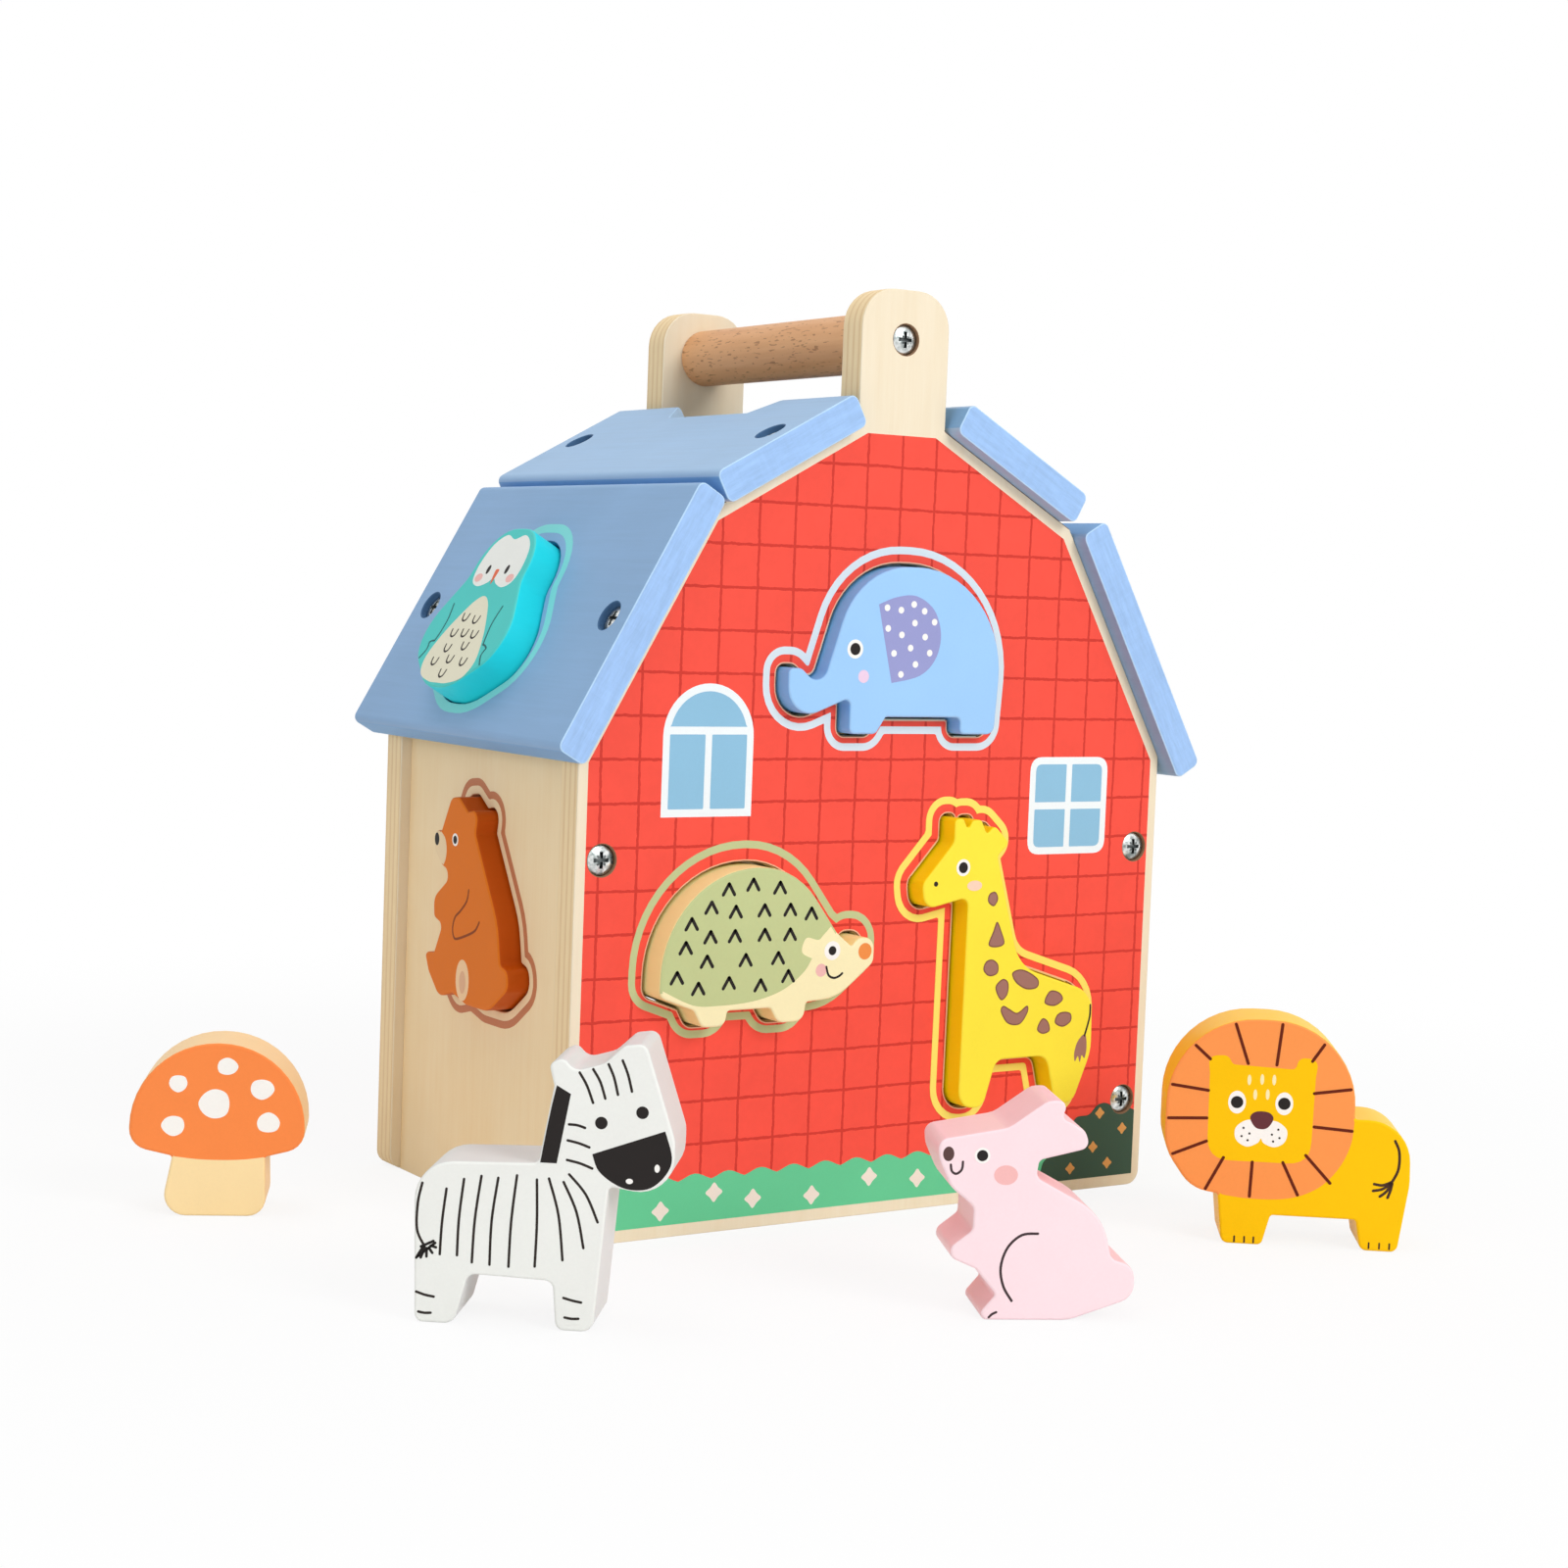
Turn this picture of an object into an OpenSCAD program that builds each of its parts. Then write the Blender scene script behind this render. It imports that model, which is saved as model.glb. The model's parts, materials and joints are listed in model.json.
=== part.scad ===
// Barn shape sorter: a plywood barn with a carry handle, a floor that slides out to empty it,
// and nine blocks that each post through a hole of their own outline.
// Millimetres, +Z up. The origin is on the ground under the middle of the barn, the front looks along -Y.

/* [Barn] */
// Width of the gables
barn_w = 188; // [176:1:210]
// Depth over the two gables
barn_d = 110; // [100:1:140]
// Thickness of the plywood of gables and walls
ply_t = 9; // [7:0.5:11]
// Height of the eaves, where the lower roof slope ends
eave_z = 123; // [119:1:128]
// Half width of the gable at the break of the roof
break_x = 58; // [54:1:64]
// Rise of the lower roof slope, from the eaves to the break
lower_rise = 63; // [58:1:68]
// Rise of the upper roof slope, from the break to the foot of the handle ears
upper_rise = 24; // [20:1:28]
// Width of a handle ear
ear_w = 28; // [24:1:34]
// Height of a handle ear above its foot
ear_h = 36; // [32:1:50]
// Radius of the ears' top corners
ear_round = 10; // [4:1:11]
// Radius of the gables' bottom corners
foot_round = 4; // [1:0.5:5]
// How far the side walls stand back from the gables' edges
wall_recess = 3; // [1:0.5:5]

/* [Roof] */
// Thickness of a roof board
roof_t = 9; // [7:0.5:11]
// How far the roof boards reach past each gable
roof_overhang = 5; // [2:1:10]
// Rounding of the boards' long edges
roof_round = 2; // [0.5:0.5:3]
// Gap from the foot of the ear to an upper board
ridge_gap = 0.5; // [0.3:0.1:2]
// From the lower edge of an upper board to the break of the roof
break_gap = 2.6; // [2:0.2:6]
// Gap between the two left boards at the break
butt_gap = 0.1; // [0.1:0.1:2]
// Width of a lower board, down the slope
lower_board_w = 77.5; // [74:0.5:82]
// How far the right lower board starts below the break
right_lower_start = 2; // [0:0.5:4]
// Depth of the finger notch in an upper board's ridge edge
notch_depth = 9; // [5:0.5:12]
// Width of the notch at the ridge
notch_w = 56; // [52:1:66]
// Width of the notch at its bottom
notch_floor_w = 41; // [26:1:50]

/* [Handle] */
// Diameter of the handle rod
rod_d = 16; // [12:0.5:20]
// From the ears' tops down to the rod's middle
rod_drop = 13; // [10:0.5:14]

/* [Floor] */
// Thickness of the sliding floor
floor_t = 6; // [4:0.5:8]
// Height of the floor's underside above the ground
floor_lift = 3; // [2:0.5:6]
// Depth of the grooves in the side walls
groove_depth = 4; // [2:0.5:5]
// Clearance round the floor in its grooves
groove_gap = 0.3; // [0.2:0.1:0.6]
// Diameter of the finger hole in the floor
finger_hole_d = 24; // [18:1:30]
// From the finger hole's middle to the back edge of the floor
finger_hole_inset = 28; // [24:1:40]

/* [Screws] */
// Diameter of a screw's shank
screw_d = 3.5; // [3:0.5:4]
// Clearance round a shank
screw_gap = 0.05; // [0.02:0.01:0.1]
// Diameter of a pan head
head_d = 7.6; // [6:0.2:7.6]
// Height of a pan head
head_h = 2.6; // [2:0.2:3]
// Radius of the dome on a pan head
head_dome = 9; // [5:0.5:9]
// Diameter of a counterbore
counterbore_d = 8; // [7.8:0.1:9]
// Length of a screw's cross recess
cross_l = 4.2; // [3:0.2:5]
// Width of a cross recess
cross_w = 0.9; // [0.6:0.1:1.2]
// Depth of a cross recess
cross_depth = 1.4; // [0.8:0.2:1.8]
// Length of the screws in the gables, under the head
wall_screw_l = 26; // [20:1:32]
// How far a gable screw's head lies below the face
wall_screw_sink = 0.1; // [0.1:0.1:1]
// Heights of the lower wall screws
low_screw_z = 25; // [20:1:40]
// Heights of the upper wall screws
high_screw_z = 97.5; // [85:0.5:110]
// Length of the screws in the roof, under the head
roof_screw_l = 24; // [20:1:28]
// How far a roof screw's head lies below the board's face
roof_screw_sink = 1; // [1:0.5:3]
// From the ear's foot to the upper boards' screws, down the slope
upper_screw_s = 23; // [18:0.5:30]
// From the break to the lower boards' screws, down the slope
lower_screw_s = 37; // [30:0.5:44]

/* [Blocks] */
// Thickness of the blocks
block_t = 20; // [17:0.5:26]
// Gap between a block and its hole, all round
post_gap = 0.7; // [0.4:0.1:1]

/* [Holes at the front] */
// Elephant, sideways
elephant_x = -1.5; // [-8:0.5:4]
// Elephant, up
elephant_z = 151; // [148:0.5:156]
// How far the elephant stands out of its hole
elephant_proud = 5; // [3:0.5:8]
// Hedgehog, sideways
hedgehog_x = -41; // [-42:0.5:-36]
// Hedgehog, up
hedgehog_z = 75; // [68:0.5:82]
// How far the hedgehog stands out of its hole
hedgehog_proud = 7.5; // [3:0.5:8]
// Giraffe, sideways
giraffe_x = 39; // [37:0.5:42]
// Giraffe, up
giraffe_z = 67; // [60:0.5:72]
// How far the giraffe stands out of its hole
giraffe_proud = 6; // [3:0.5:8]

/* [Holes at the left] */
// Owl, along the barn
owl_y = 3.5; // [-4:0.5:10]
// Owl, from the break of the roof down the slope
owl_s = 41; // [36:0.5:42]
// How far the owl stands out of its hole
owl_proud = 8; // [3:0.5:9]
// Bear, along the barn
bear_y = -3; // [-6:0.5:6]
// Bear, up
bear_z = 81; // [72:0.5:84]
// How far the bear stands out of its hole
bear_proud = 6; // [3:0.5:8]

/* [Holes at the right] */
// Mushroom, along the barn
mushroom_hole_y = 0; // [-10:0.5:10]
// Foot of the mushroom, from the break of the roof down the slope
mushroom_hole_s = 61; // [56:0.5:64]
// Rabbit, along the barn
rabbit_hole_y = -3; // [-8:0.5:4]
// Foot of the rabbit, up
rabbit_hole_z = 46; // [36:1:56]

/* [Holes at the back] */
// Lion, sideways
lion_hole_x = -7; // [-12:0.5:0]
// Foot of the lion, up
lion_hole_z = 110; // [106:1:114]
// Zebra, sideways
zebra_hole_x = 8; // [-10:0.5:20]
// Foot of the zebra, up
zebra_hole_z = 26; // [22:1:34]

/* [Blocks beside the barn] */
// Zebra, sideways
zebra_x = -140; // [-160:1:-136]
// Zebra, along the barn
zebra_y = -112; // [-140:1:-100]
// Zebra's turn
zebra_turn = -38.5; // [-60:0.5:-10]
// Rabbit, sideways
rabbit_x = -29.5; // [-40:0.5:-20]
// Rabbit, along the barn
rabbit_y = -158; // [-170:1:-140]
// Rabbit's turn
rabbit_turn = -26.5; // [-50:0.5:0]
// Lion, sideways
lion_x = 84.5; // [80:0.5:110]
// Lion, along the barn
lion_y = -134.5; // [-150:0.5:-125]
// Lion's turn
lion_turn = -38; // [-60:0.5:-10]
// Mushroom, sideways
mushroom_x = -158; // [-190:1:-150]
// Mushroom, along the barn
mushroom_y = 12.5; // [-10:0.5:40]
// Mushroom's turn
mushroom_turn = -26.5; // [-50:0.5:0]

/* [Hidden] */
$fn = 48;

// How far a cut runs past the faces that it opens
past = 1;
// Largest turn between two points of an arc, and the chord height it may leave
arc_turn = 18;
arc_height = 0.05;
// Least radius left in an inner corner of a hole
least_round = 0.3;

birch = [0.95, 0.87, 0.73];
beech = [0.76, 0.58, 0.42];
roof_blue = [0.49, 0.64, 0.84];
zinc = [0.75, 0.76, 0.76];

gable_mid_y = barn_d / 2 - ply_t / 2;
inner_y = barn_d / 2 - ply_t;
wall_x = barn_w / 2 - wall_recess;
wall_mid_x = wall_x - ply_t / 2;
wall_inner_x = wall_x - ply_t;
break_z = eave_z + lower_rise;
ear_foot_z = break_z + upper_rise;
ear_top_z = ear_foot_z + ear_h;
rod_z = ear_top_z - rod_drop;
upper_fall = atan2(upper_rise, break_x - ear_w / 2);
lower_fall = atan2(lower_rise, barn_w / 2 - break_x);
roof_l = barn_d + 2 * roof_overhang;
upper_board_w = norm([break_x - ear_w / 2, upper_rise]) - ridge_gap - break_gap;
left_lower_start = -(break_gap - butt_gap) / cos(lower_fall - upper_fall);
floor_half = wall_inner_x + groove_depth - groove_gap;
floor_top = floor_lift + floor_t;
floor_front_y = -inner_y + groove_gap;

// Outlines. Each corner is [x, y, radius], counterclockwise as seen on the printed face.
// Seated blocks are drawn about their middle, standing blocks from the ground up.
elephant = [
    [-34.5, -19.5, 7], [-15, -12, 1.5], [-15, -21.5, 1.5], [-6.5, -21.5, 2], [-3.5, -17, 1],
    [21, -17, 1.5], [21, -21.5, 1.5], [32.5, -21.5, 2.5], [35.4, 22.6, 28], [-13.5, 22.6, 22],
    [-24.2, -10, 3.5], [-30.5, -4.5, 2.5], [-34.5, -4.5, 1.5]
];
hedgehog = [
    [-31.8, -11.7, 2.5], [-21.5, -15.5, 2], [-19, -20, 2.5], [-12, -20, 2.5], [-11.5, -16, 1],
    [1.5, -16, 1], [4, -20, 3], [12, -20, 3], [12.5, -15, 1], [22, -14.5, 14], [33.5, -5.5, 3],
    [33.5, 1.2, 3], [28.5, 1.2, 2.2], [26.2, -0.9, 0.6], [21.5, 2.8, 2.5], [8, 20.5, 22],
    [-31.3, 20.6, 28]
];
giraffe = [
    [-15.5, -39, 5], [-7, -39.5, 3.5], [-3, -26.5, 3.5], [14.5, -26.5, 4], [18, -40, 3.5],
    [24.5, -40.5, 4], [30.5, -26, 14], [30, -9.5, 8], [3.5, -1, 12], [-5.5, 29.5, 1.5],
    [-1.5, 33, 1.5], [-7, 38, 1.5], [-9.5, 35.5, 0.8], [-11.5, 39.5, 1.2], [-14.5, 39.5, 1.2],
    [-16, 36.5, 0.8], [-17.5, 40, 1.2], [-20.5, 40, 1.5], [-20.5, 33.5, 3], [-30.5, 22.5, 3],
    [-29.5, 15.5, 3.5], [-15, 18.5, 2]
];
owl = [
    [-7, -24.5, 18], [7, -24.5, 18], [24.2, -13.5, 11.5], [22.3, -3, 13], [15, 9, 8], [14.6, 24.5, 12.5],
    [-14.6, 24.5, 12.5], [-15, 9, 8], [-22.3, -3, 13], [-24.2, -13.5, 11.5]
];
bear = [
    [-25, -16, 1.2], [-22.5, -21, 4], [-16, -27, 4], [-8, -25, 1.5], [0, -27, 5], [13, -27, 12],
    [24, -19.5, 3.5], [23, -15, 2.5], [19, -14, 1.5], [17, -3.5, 20], [3, 18.5, 2], [4.5, 25.5, 2.5],
    [-1.5, 24, 1.5], [-7, 27.5, 2], [-11.5, 27, 2.5], [-17, 17.5, 1.5], [-21.5, 17.5, 2],
    [-20.5, 12, 4], [-16.5, 8.5, 2], [-10, 6.5, 2], [-20.5, -0.5, 4], [-20, -6, 1.5],
    [-15, -7.5, 1.5], [-19.5, -15.5, 1.2]
];
zebra = [
    [-20.5, 0, 2], [-11.5, 0, 3], [-8.5, 11.5, 2], [10.5, 11, 2], [11.5, 0, 2], [20, 0, 3],
    [22.5, 33, 1], [37, 31, 8], [37, 44, 6], [29.8, 65.5, 2.2], [25, 64.8, 2], [20.5, 60.5, 4],
    [14, 58.5, 3], [11.5, 61.5, 1.8], [8.2, 59.8, 1.5], [9.5, 55, 1], [6.5, 37.5, 1.5],
    [-21.5, 36.5, 9]
];
rabbit = [
    [-11.5, 0, 1.5], [11, 0, 10], [26.5, 5.5, 4.5], [26, 13, 4], [20.5, 14.5, 2.5], [18, 25, 14],
    [2, 33.5, 2], [2.5, 37.5, 1.5], [14.5, 40.5, 2], [13, 44.5, 2.5], [7.5, 47.5, 1.2],
    [9, 51.5, 1.8], [4, 51.5, 4], [-5, 45, 6], [-21.5, 42, 2.5], [-21, 37.5, 6], [-18, 31, 6],
    [-12.5, 26.5, 2], [-12.5, 21, 2], [-19.6, 15.4, 2.2], [-11.5, 12, 1.2], [-6.5, 6, 1]
];
lion = [
    [-23, 0, 2], [-12.5, 0, 1.5], [-10.5, 8, 1], [11.5, 8, 1], [13, 0, 2], [22.5, 0, 2],
    [25, 18, 10], [24.5, 34.5, 11], [10, 34.5, 1], [10, 59.5, 22], [-39, 59.5, 23],
    [-39, 24.5, 14], [-31.5, 14, 10], [-24.5, 13, 0.8]
];
mushroom = [
    [-15, 0, 5.5], [12, 0, 4.5], [11.5, 15.5, 0.8], [21.5, 18, 5.5], [21.5, 45, 22], [-23, 45, 22],
    [-23, 18, 5.5], [-12, 15.5, 0.8]
];

function flat(p) = [p[0], p[1]];
function unit(v) = v / norm(v);
function bend(a, b) = a[0] * b[1] - a[1] * b[0];
function outward(d) = [d[1], -d[0]];
function before(list, i) = flat(list[(i + len(list) - 1) % len(list)]);
function after(list, i) = flat(list[(i + 1) % len(list)]);

// The same corners moved outward by a gap, with the radii that keep the gap even all round
function grown(corners, gap) = [
    for (i = [0 : len(corners) - 1])
        let (
            p = flat(corners[i]),
            d_in = unit(p - before(corners, i)),
            d_out = unit(after(corners, i) - p),
            n_in = outward(d_in),
            n_out = outward(d_out),
            q = p + gap * (n_in + n_out) / (1 + n_in * n_out),
            r = corners[i][2] + (bend(d_in, d_out) > 0 ? gap : -gap)
        )
        [q[0], q[1], max(r, least_round)]
];

// Points of the arc that rounds corner p, reached along d_in and left along d_out
function corner_arc(p, d_in, d_out, r) =
    let (
        way = sign(bend(d_in, d_out)),
        turn = atan2(abs(bend(d_in, d_out)), d_in * d_out),
        start = p - d_in * r * tan(turn / 2),
        middle = start - way * r * outward(d_in),
        first = atan2(start[1] - middle[1], start[0] - middle[0]),
        step = min(arc_turn, 2 * acos(1 - arc_height / max(r, 2 * arc_height))),
        steps = max(1, ceil(turn / step))
    )
    [for (k = [0 : steps]) let (a = first + way * turn * k / steps) middle + r * [cos(a), sin(a)]];

// Points of a closed outline with all its corners rounded
function rounded(corners) = [
    for (i = [0 : len(corners) - 1])
        let (
            p = flat(corners[i]),
            d_in = unit(p - before(corners, i)),
            d_out = unit(after(corners, i) - p)
        )
        each corner_arc(p, d_in, d_out, corners[i][2])
];

// Frames on each face: x to the right and y up as seen from outside, z outward
module on_front(x, z) translate([x, -barn_d / 2, z]) rotate([90, 0, 0]) children();
module on_back(x, z) translate([x, barn_d / 2, z]) rotate([90, 0, 180]) children();
module on_left(y, z) translate([-wall_x, y, z]) rotate([90, 0, -90]) children();
module on_right(y, z) translate([wall_x, y, z]) rotate([90, 0, 90]) children();
module on_ground(x, y, turn) translate([x, y, 0]) rotate([90, 0, turn]) children();

// Frames on the right-hand slopes: x down the slope, z out of the roof, z = 0 on the gable's edge
module upper_slope() translate([ear_w / 2, 0, ear_foot_z]) rotate([0, upper_fall, 0]) children();
module lower_slope() translate([break_x, 0, break_z]) rotate([0, lower_fall, 0]) children();
module to_left() mirror([1, 0, 0]) children();
module on_right_roof(y, s) lower_slope() translate([s, y, roof_t]) rotate([0, 0, 90]) children();
module on_left_roof(y, s)
    to_left() lower_slope() translate([s, y, roof_t]) rotate([0, 0, 90]) mirror([1, 0, 0]) children();

// A block whose printed face is at z = face
module block(outline, face)
    translate([0, 0, face - block_t]) linear_extrude(block_t) polygon(rounded(outline));

// The cut for a block's hole through a board of the given thickness
module post_hole(outline, board_t)
    translate([0, 0, -board_t - past])
        linear_extrude(board_t + 2 * past) polygon(rounded(grown(outline, post_gap)));

// A pan-head screw driven along -z, with the top of its head at z = 0
module pan_screw(shank_l) {
    difference() {
        union() {
            translate([0, 0, -head_h - shank_l]) cylinder(d = screw_d, h = shank_l + head_h / 2);
            intersection() {
                translate([0, 0, -head_h]) cylinder(d = head_d, h = head_h);
                translate([0, 0, -head_dome]) sphere(r = head_dome);
            }
        }
        for (a = [0, 90])
            rotate([0, 0, a]) cube([cross_l, cross_w, 2 * cross_depth], center = true);
    }
}

// The cut for that screw: its counterbore from the face at z = sink, and the hole for its shank
module screw_cut(shank_l, sink) {
    translate([0, 0, -head_h]) cylinder(d = counterbore_d, h = head_h + sink + past);
    translate([0, 0, -head_h - shank_l - past]) cylinder(d = screw_d + 2 * screw_gap, h = shank_l + 2 * past);
}

// Children at the four wall screws of a gable, in the frame of a face at the front
module at_wall_screws()
    for (side = [-1, 1], z = [low_screw_z, high_screw_z])
        translate([side * wall_mid_x, z, -wall_screw_sink]) children();

module at_handle_screw() translate([0, rod_z, -wall_screw_sink]) children();

// Children at the screws of the right-hand boards, with z out of the roof
module at_upper_screws()
    upper_slope() for (side = [-1, 1])
        translate([upper_screw_s, side * gable_mid_y, roof_t - roof_screw_sink]) children();
module at_lower_screws()
    lower_slope() for (side = [-1, 1])
        translate([lower_screw_s, side * gable_mid_y, roof_t - roof_screw_sink]) children();

// Gable outline with its ear, from the bottom right corner round
module gable_face() {
    half = barn_w / 2;
    ear = ear_w / 2;
    polygon(rounded([
        [-half, 0, foot_round], [half, 0, foot_round], [half, eave_z, 1], [break_x, break_z, 1],
        [ear, ear_foot_z, 0.5], [ear, ear_top_z, ear_round], [-ear, ear_top_z, ear_round],
        [-ear, ear_foot_z, 0.5], [-break_x, break_z, 1], [-half, eave_z, 1]
    ]));
}

// A gable board in the frame of its own outer face, before its holes are cut
module gable_board() translate([0, 0, -ply_t]) linear_extrude(ply_t) gable_face();

// Cuts that both gables share: wall screws, handle screw and roof screws
module gable_screw_cuts() {
    at_wall_screws() screw_cut(wall_screw_l, wall_screw_sink);
    at_handle_screw() screw_cut(wall_screw_l, wall_screw_sink);
}
module roof_screw_cuts() {
    at_upper_screws() screw_cut(roof_screw_l, roof_screw_sink);
    at_lower_screws() screw_cut(roof_screw_l, roof_screw_sink);
}

module front_gable() {
    color(birch) difference() {
        on_front(0, 0) gable_board();
        on_front(0, 0) gable_screw_cuts();
        roof_screw_cuts();
        to_left() roof_screw_cuts();
        on_front(elephant_x, elephant_z) post_hole(elephant, ply_t);
        on_front(hedgehog_x, hedgehog_z) post_hole(hedgehog, ply_t);
        on_front(giraffe_x, giraffe_z) post_hole(giraffe, ply_t);
    }
}

// The back gable stands on two feet: the sliding floor passes between them
module back_gable() {
    color(birch) difference() {
        on_back(0, 0) gable_board();
        on_back(0, 0) gable_screw_cuts();
        roof_screw_cuts();
        to_left() roof_screw_cuts();
        on_back(lion_hole_x, lion_hole_z) post_hole(lion, ply_t);
        on_back(zebra_hole_x, zebra_hole_z) post_hole(zebra, ply_t);
        translate([-floor_half - groove_gap, inner_y - past, -past])
            cube([2 * (floor_half + groove_gap), ply_t + 2 * past, floor_top + groove_gap + past]);
    }
}

// The right-hand wall before its block's hole is cut: pilot holes at both ends, a groove for the floor
module wall_board() {
    difference() {
        translate([wall_inner_x, -inner_y, 0]) cube([ply_t, 2 * inner_y, eave_z]);
        on_front(0, 0) at_wall_screws() screw_cut(wall_screw_l, wall_screw_sink);
        on_back(0, 0) at_wall_screws() screw_cut(wall_screw_l, wall_screw_sink);
        translate([wall_inner_x - past, -inner_y - past, floor_lift - groove_gap])
            cube([groove_depth + past, 2 * (inner_y + past), floor_t + 2 * groove_gap]);
    }
}

module left_wall() {
    color(birch) difference() {
        to_left() wall_board();
        on_left(bear_y, bear_z) post_hole(bear, ply_t);
    }
}

module right_wall() {
    color(birch) difference() {
        wall_board();
        on_right(rabbit_hole_y, rabbit_hole_z) post_hole(rabbit, ply_t);
    }
}

module floor_panel() {
    color(birch) difference() {
        translate([-floor_half, floor_front_y, floor_lift])
            cube([2 * floor_half, barn_d / 2 - floor_front_y, floor_t]);
        translate([0, barn_d / 2 - finger_hole_inset, floor_lift - past])
            cylinder(d = finger_hole_d, h = floor_t + 2 * past);
    }
}

// A roof board in the frame of its slope, from start down the slope
module roof_board(start, width) {
    section = [
        [start, 0, roof_round], [start + width, 0, roof_round],
        [start + width, roof_t, roof_round], [start, roof_t, roof_round]
    ];
    translate([0, roof_l / 2, 0]) rotate([90, 0, 0]) linear_extrude(roof_l) polygon(rounded(section));
}

// The right-hand upper board, with the notch that makes room for fingers round the rod
module upper_board() {
    difference() {
        upper_slope() roof_board(ridge_gap, upper_board_w);
        upper_slope() translate([ridge_gap, 0, -past]) linear_extrude(roof_t + 2 * past) polygon([
            [-past, -notch_w / 2 - past], [notch_depth, -notch_floor_w / 2],
            [notch_depth, notch_floor_w / 2], [-past, notch_w / 2 + past]
        ]);
        at_upper_screws() screw_cut(roof_screw_l, roof_screw_sink);
    }
}

// The right-hand lower board before its block's hole is cut
module lower_board(start) {
    difference() {
        lower_slope() roof_board(start, lower_board_w);
        at_lower_screws() screw_cut(roof_screw_l, roof_screw_sink);
    }
}

module left_upper_roof() color(roof_blue) to_left() upper_board();
module right_upper_roof() color(roof_blue) upper_board();

module left_lower_roof() {
    color(roof_blue) difference() {
        to_left() lower_board(left_lower_start);
        on_left_roof(owl_y, owl_s) post_hole(owl, roof_t);
    }
}

module right_lower_roof() {
    color(roof_blue) difference() {
        lower_board(right_lower_start);
        on_right_roof(mushroom_hole_y, mushroom_hole_s) post_hole(mushroom, roof_t);
    }
}

// The rod fills the space between the ears and takes a screw in each end
module handle_rod() {
    color(beech) difference() {
        translate([0, 0, rod_z]) rotate([90, 0, 0]) cylinder(d = rod_d, h = 2 * inner_y, center = true);
        on_front(0, 0) at_handle_screw() screw_cut(wall_screw_l, wall_screw_sink);
        on_back(0, 0) at_handle_screw() screw_cut(wall_screw_l, wall_screw_sink);
    }
}

module handle_screws() {
    color(zinc) {
        on_front(0, 0) at_handle_screw() pan_screw(wall_screw_l);
        on_back(0, 0) at_handle_screw() pan_screw(wall_screw_l);
    }
}

module front_wall_screws() color(zinc) on_front(0, 0) at_wall_screws() pan_screw(wall_screw_l);
module back_wall_screws() color(zinc) on_back(0, 0) at_wall_screws() pan_screw(wall_screw_l);

module roof_screws() {
    at_upper_screws() pan_screw(roof_screw_l);
    at_lower_screws() pan_screw(roof_screw_l);
}
module left_roof_screws() color(zinc) to_left() roof_screws();
module right_roof_screws() color(zinc) roof_screws();

// Blocks that stand half posted in their holes
module elephant_block()
    color([0.65, 0.83, 0.99]) on_front(elephant_x, elephant_z) block(elephant, elephant_proud);
module hedgehog_block()
    color([0.98, 0.72, 0.48]) on_front(hedgehog_x, hedgehog_z) block(hedgehog, hedgehog_proud);
module giraffe_block() color([0.99, 0.78, 0.1]) on_front(giraffe_x, giraffe_z) block(giraffe, giraffe_proud);
module owl_block() color([0.2, 0.8, 0.82]) on_left_roof(owl_y, owl_s) block(owl, owl_proud);
module bear_block() color([0.8, 0.44, 0.19]) on_left(bear_y, bear_z) block(bear, bear_proud);

// Blocks that stand on the ground beside the barn
module zebra_block() color([0.93, 0.93, 0.92]) on_ground(zebra_x, zebra_y, zebra_turn) block(zebra, 0);
module rabbit_block() color([0.98, 0.86, 0.88]) on_ground(rabbit_x, rabbit_y, rabbit_turn) block(rabbit, 0);
module lion_block() color([0.99, 0.77, 0.03]) on_ground(lion_x, lion_y, lion_turn) block(lion, 0);
module mushroom_block()
    color([0.98, 0.87, 0.64]) on_ground(mushroom_x, mushroom_y, mushroom_turn) block(mushroom, 0);

front_gable();
back_gable();
left_wall();
right_wall();
floor_panel();
left_upper_roof();
right_upper_roof();
left_lower_roof();
right_lower_roof();
handle_rod();
handle_screws();
front_wall_screws();
back_wall_screws();
left_roof_screws();
right_roof_screws();
elephant_block();
hedgehog_block();
giraffe_block();
owl_block();
bear_block();
zebra_block();
rabbit_block();
lion_block();
mushroom_block();
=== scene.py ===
# %% [markdown]
# # A barn shape sorter, from bare boards to printed toy
#
# The real toy is birch plywood: two gables, two walls, a sliding floor and four painted roof boards,
# with nine blocks that post through holes of their own outline. The CAD model already holds every
# board, screw and block at its real size. This lesson softens the sawn edges, prints the faces and
# gives each surface its finish. It works in the CAD model's own frame: X to the right, Y to the back,
# Z up, in metres, with the front of the barn towards -Y.

# %% Load the frame
import json
import math

import bmesh
import bpy
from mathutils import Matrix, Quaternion, Vector


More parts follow.
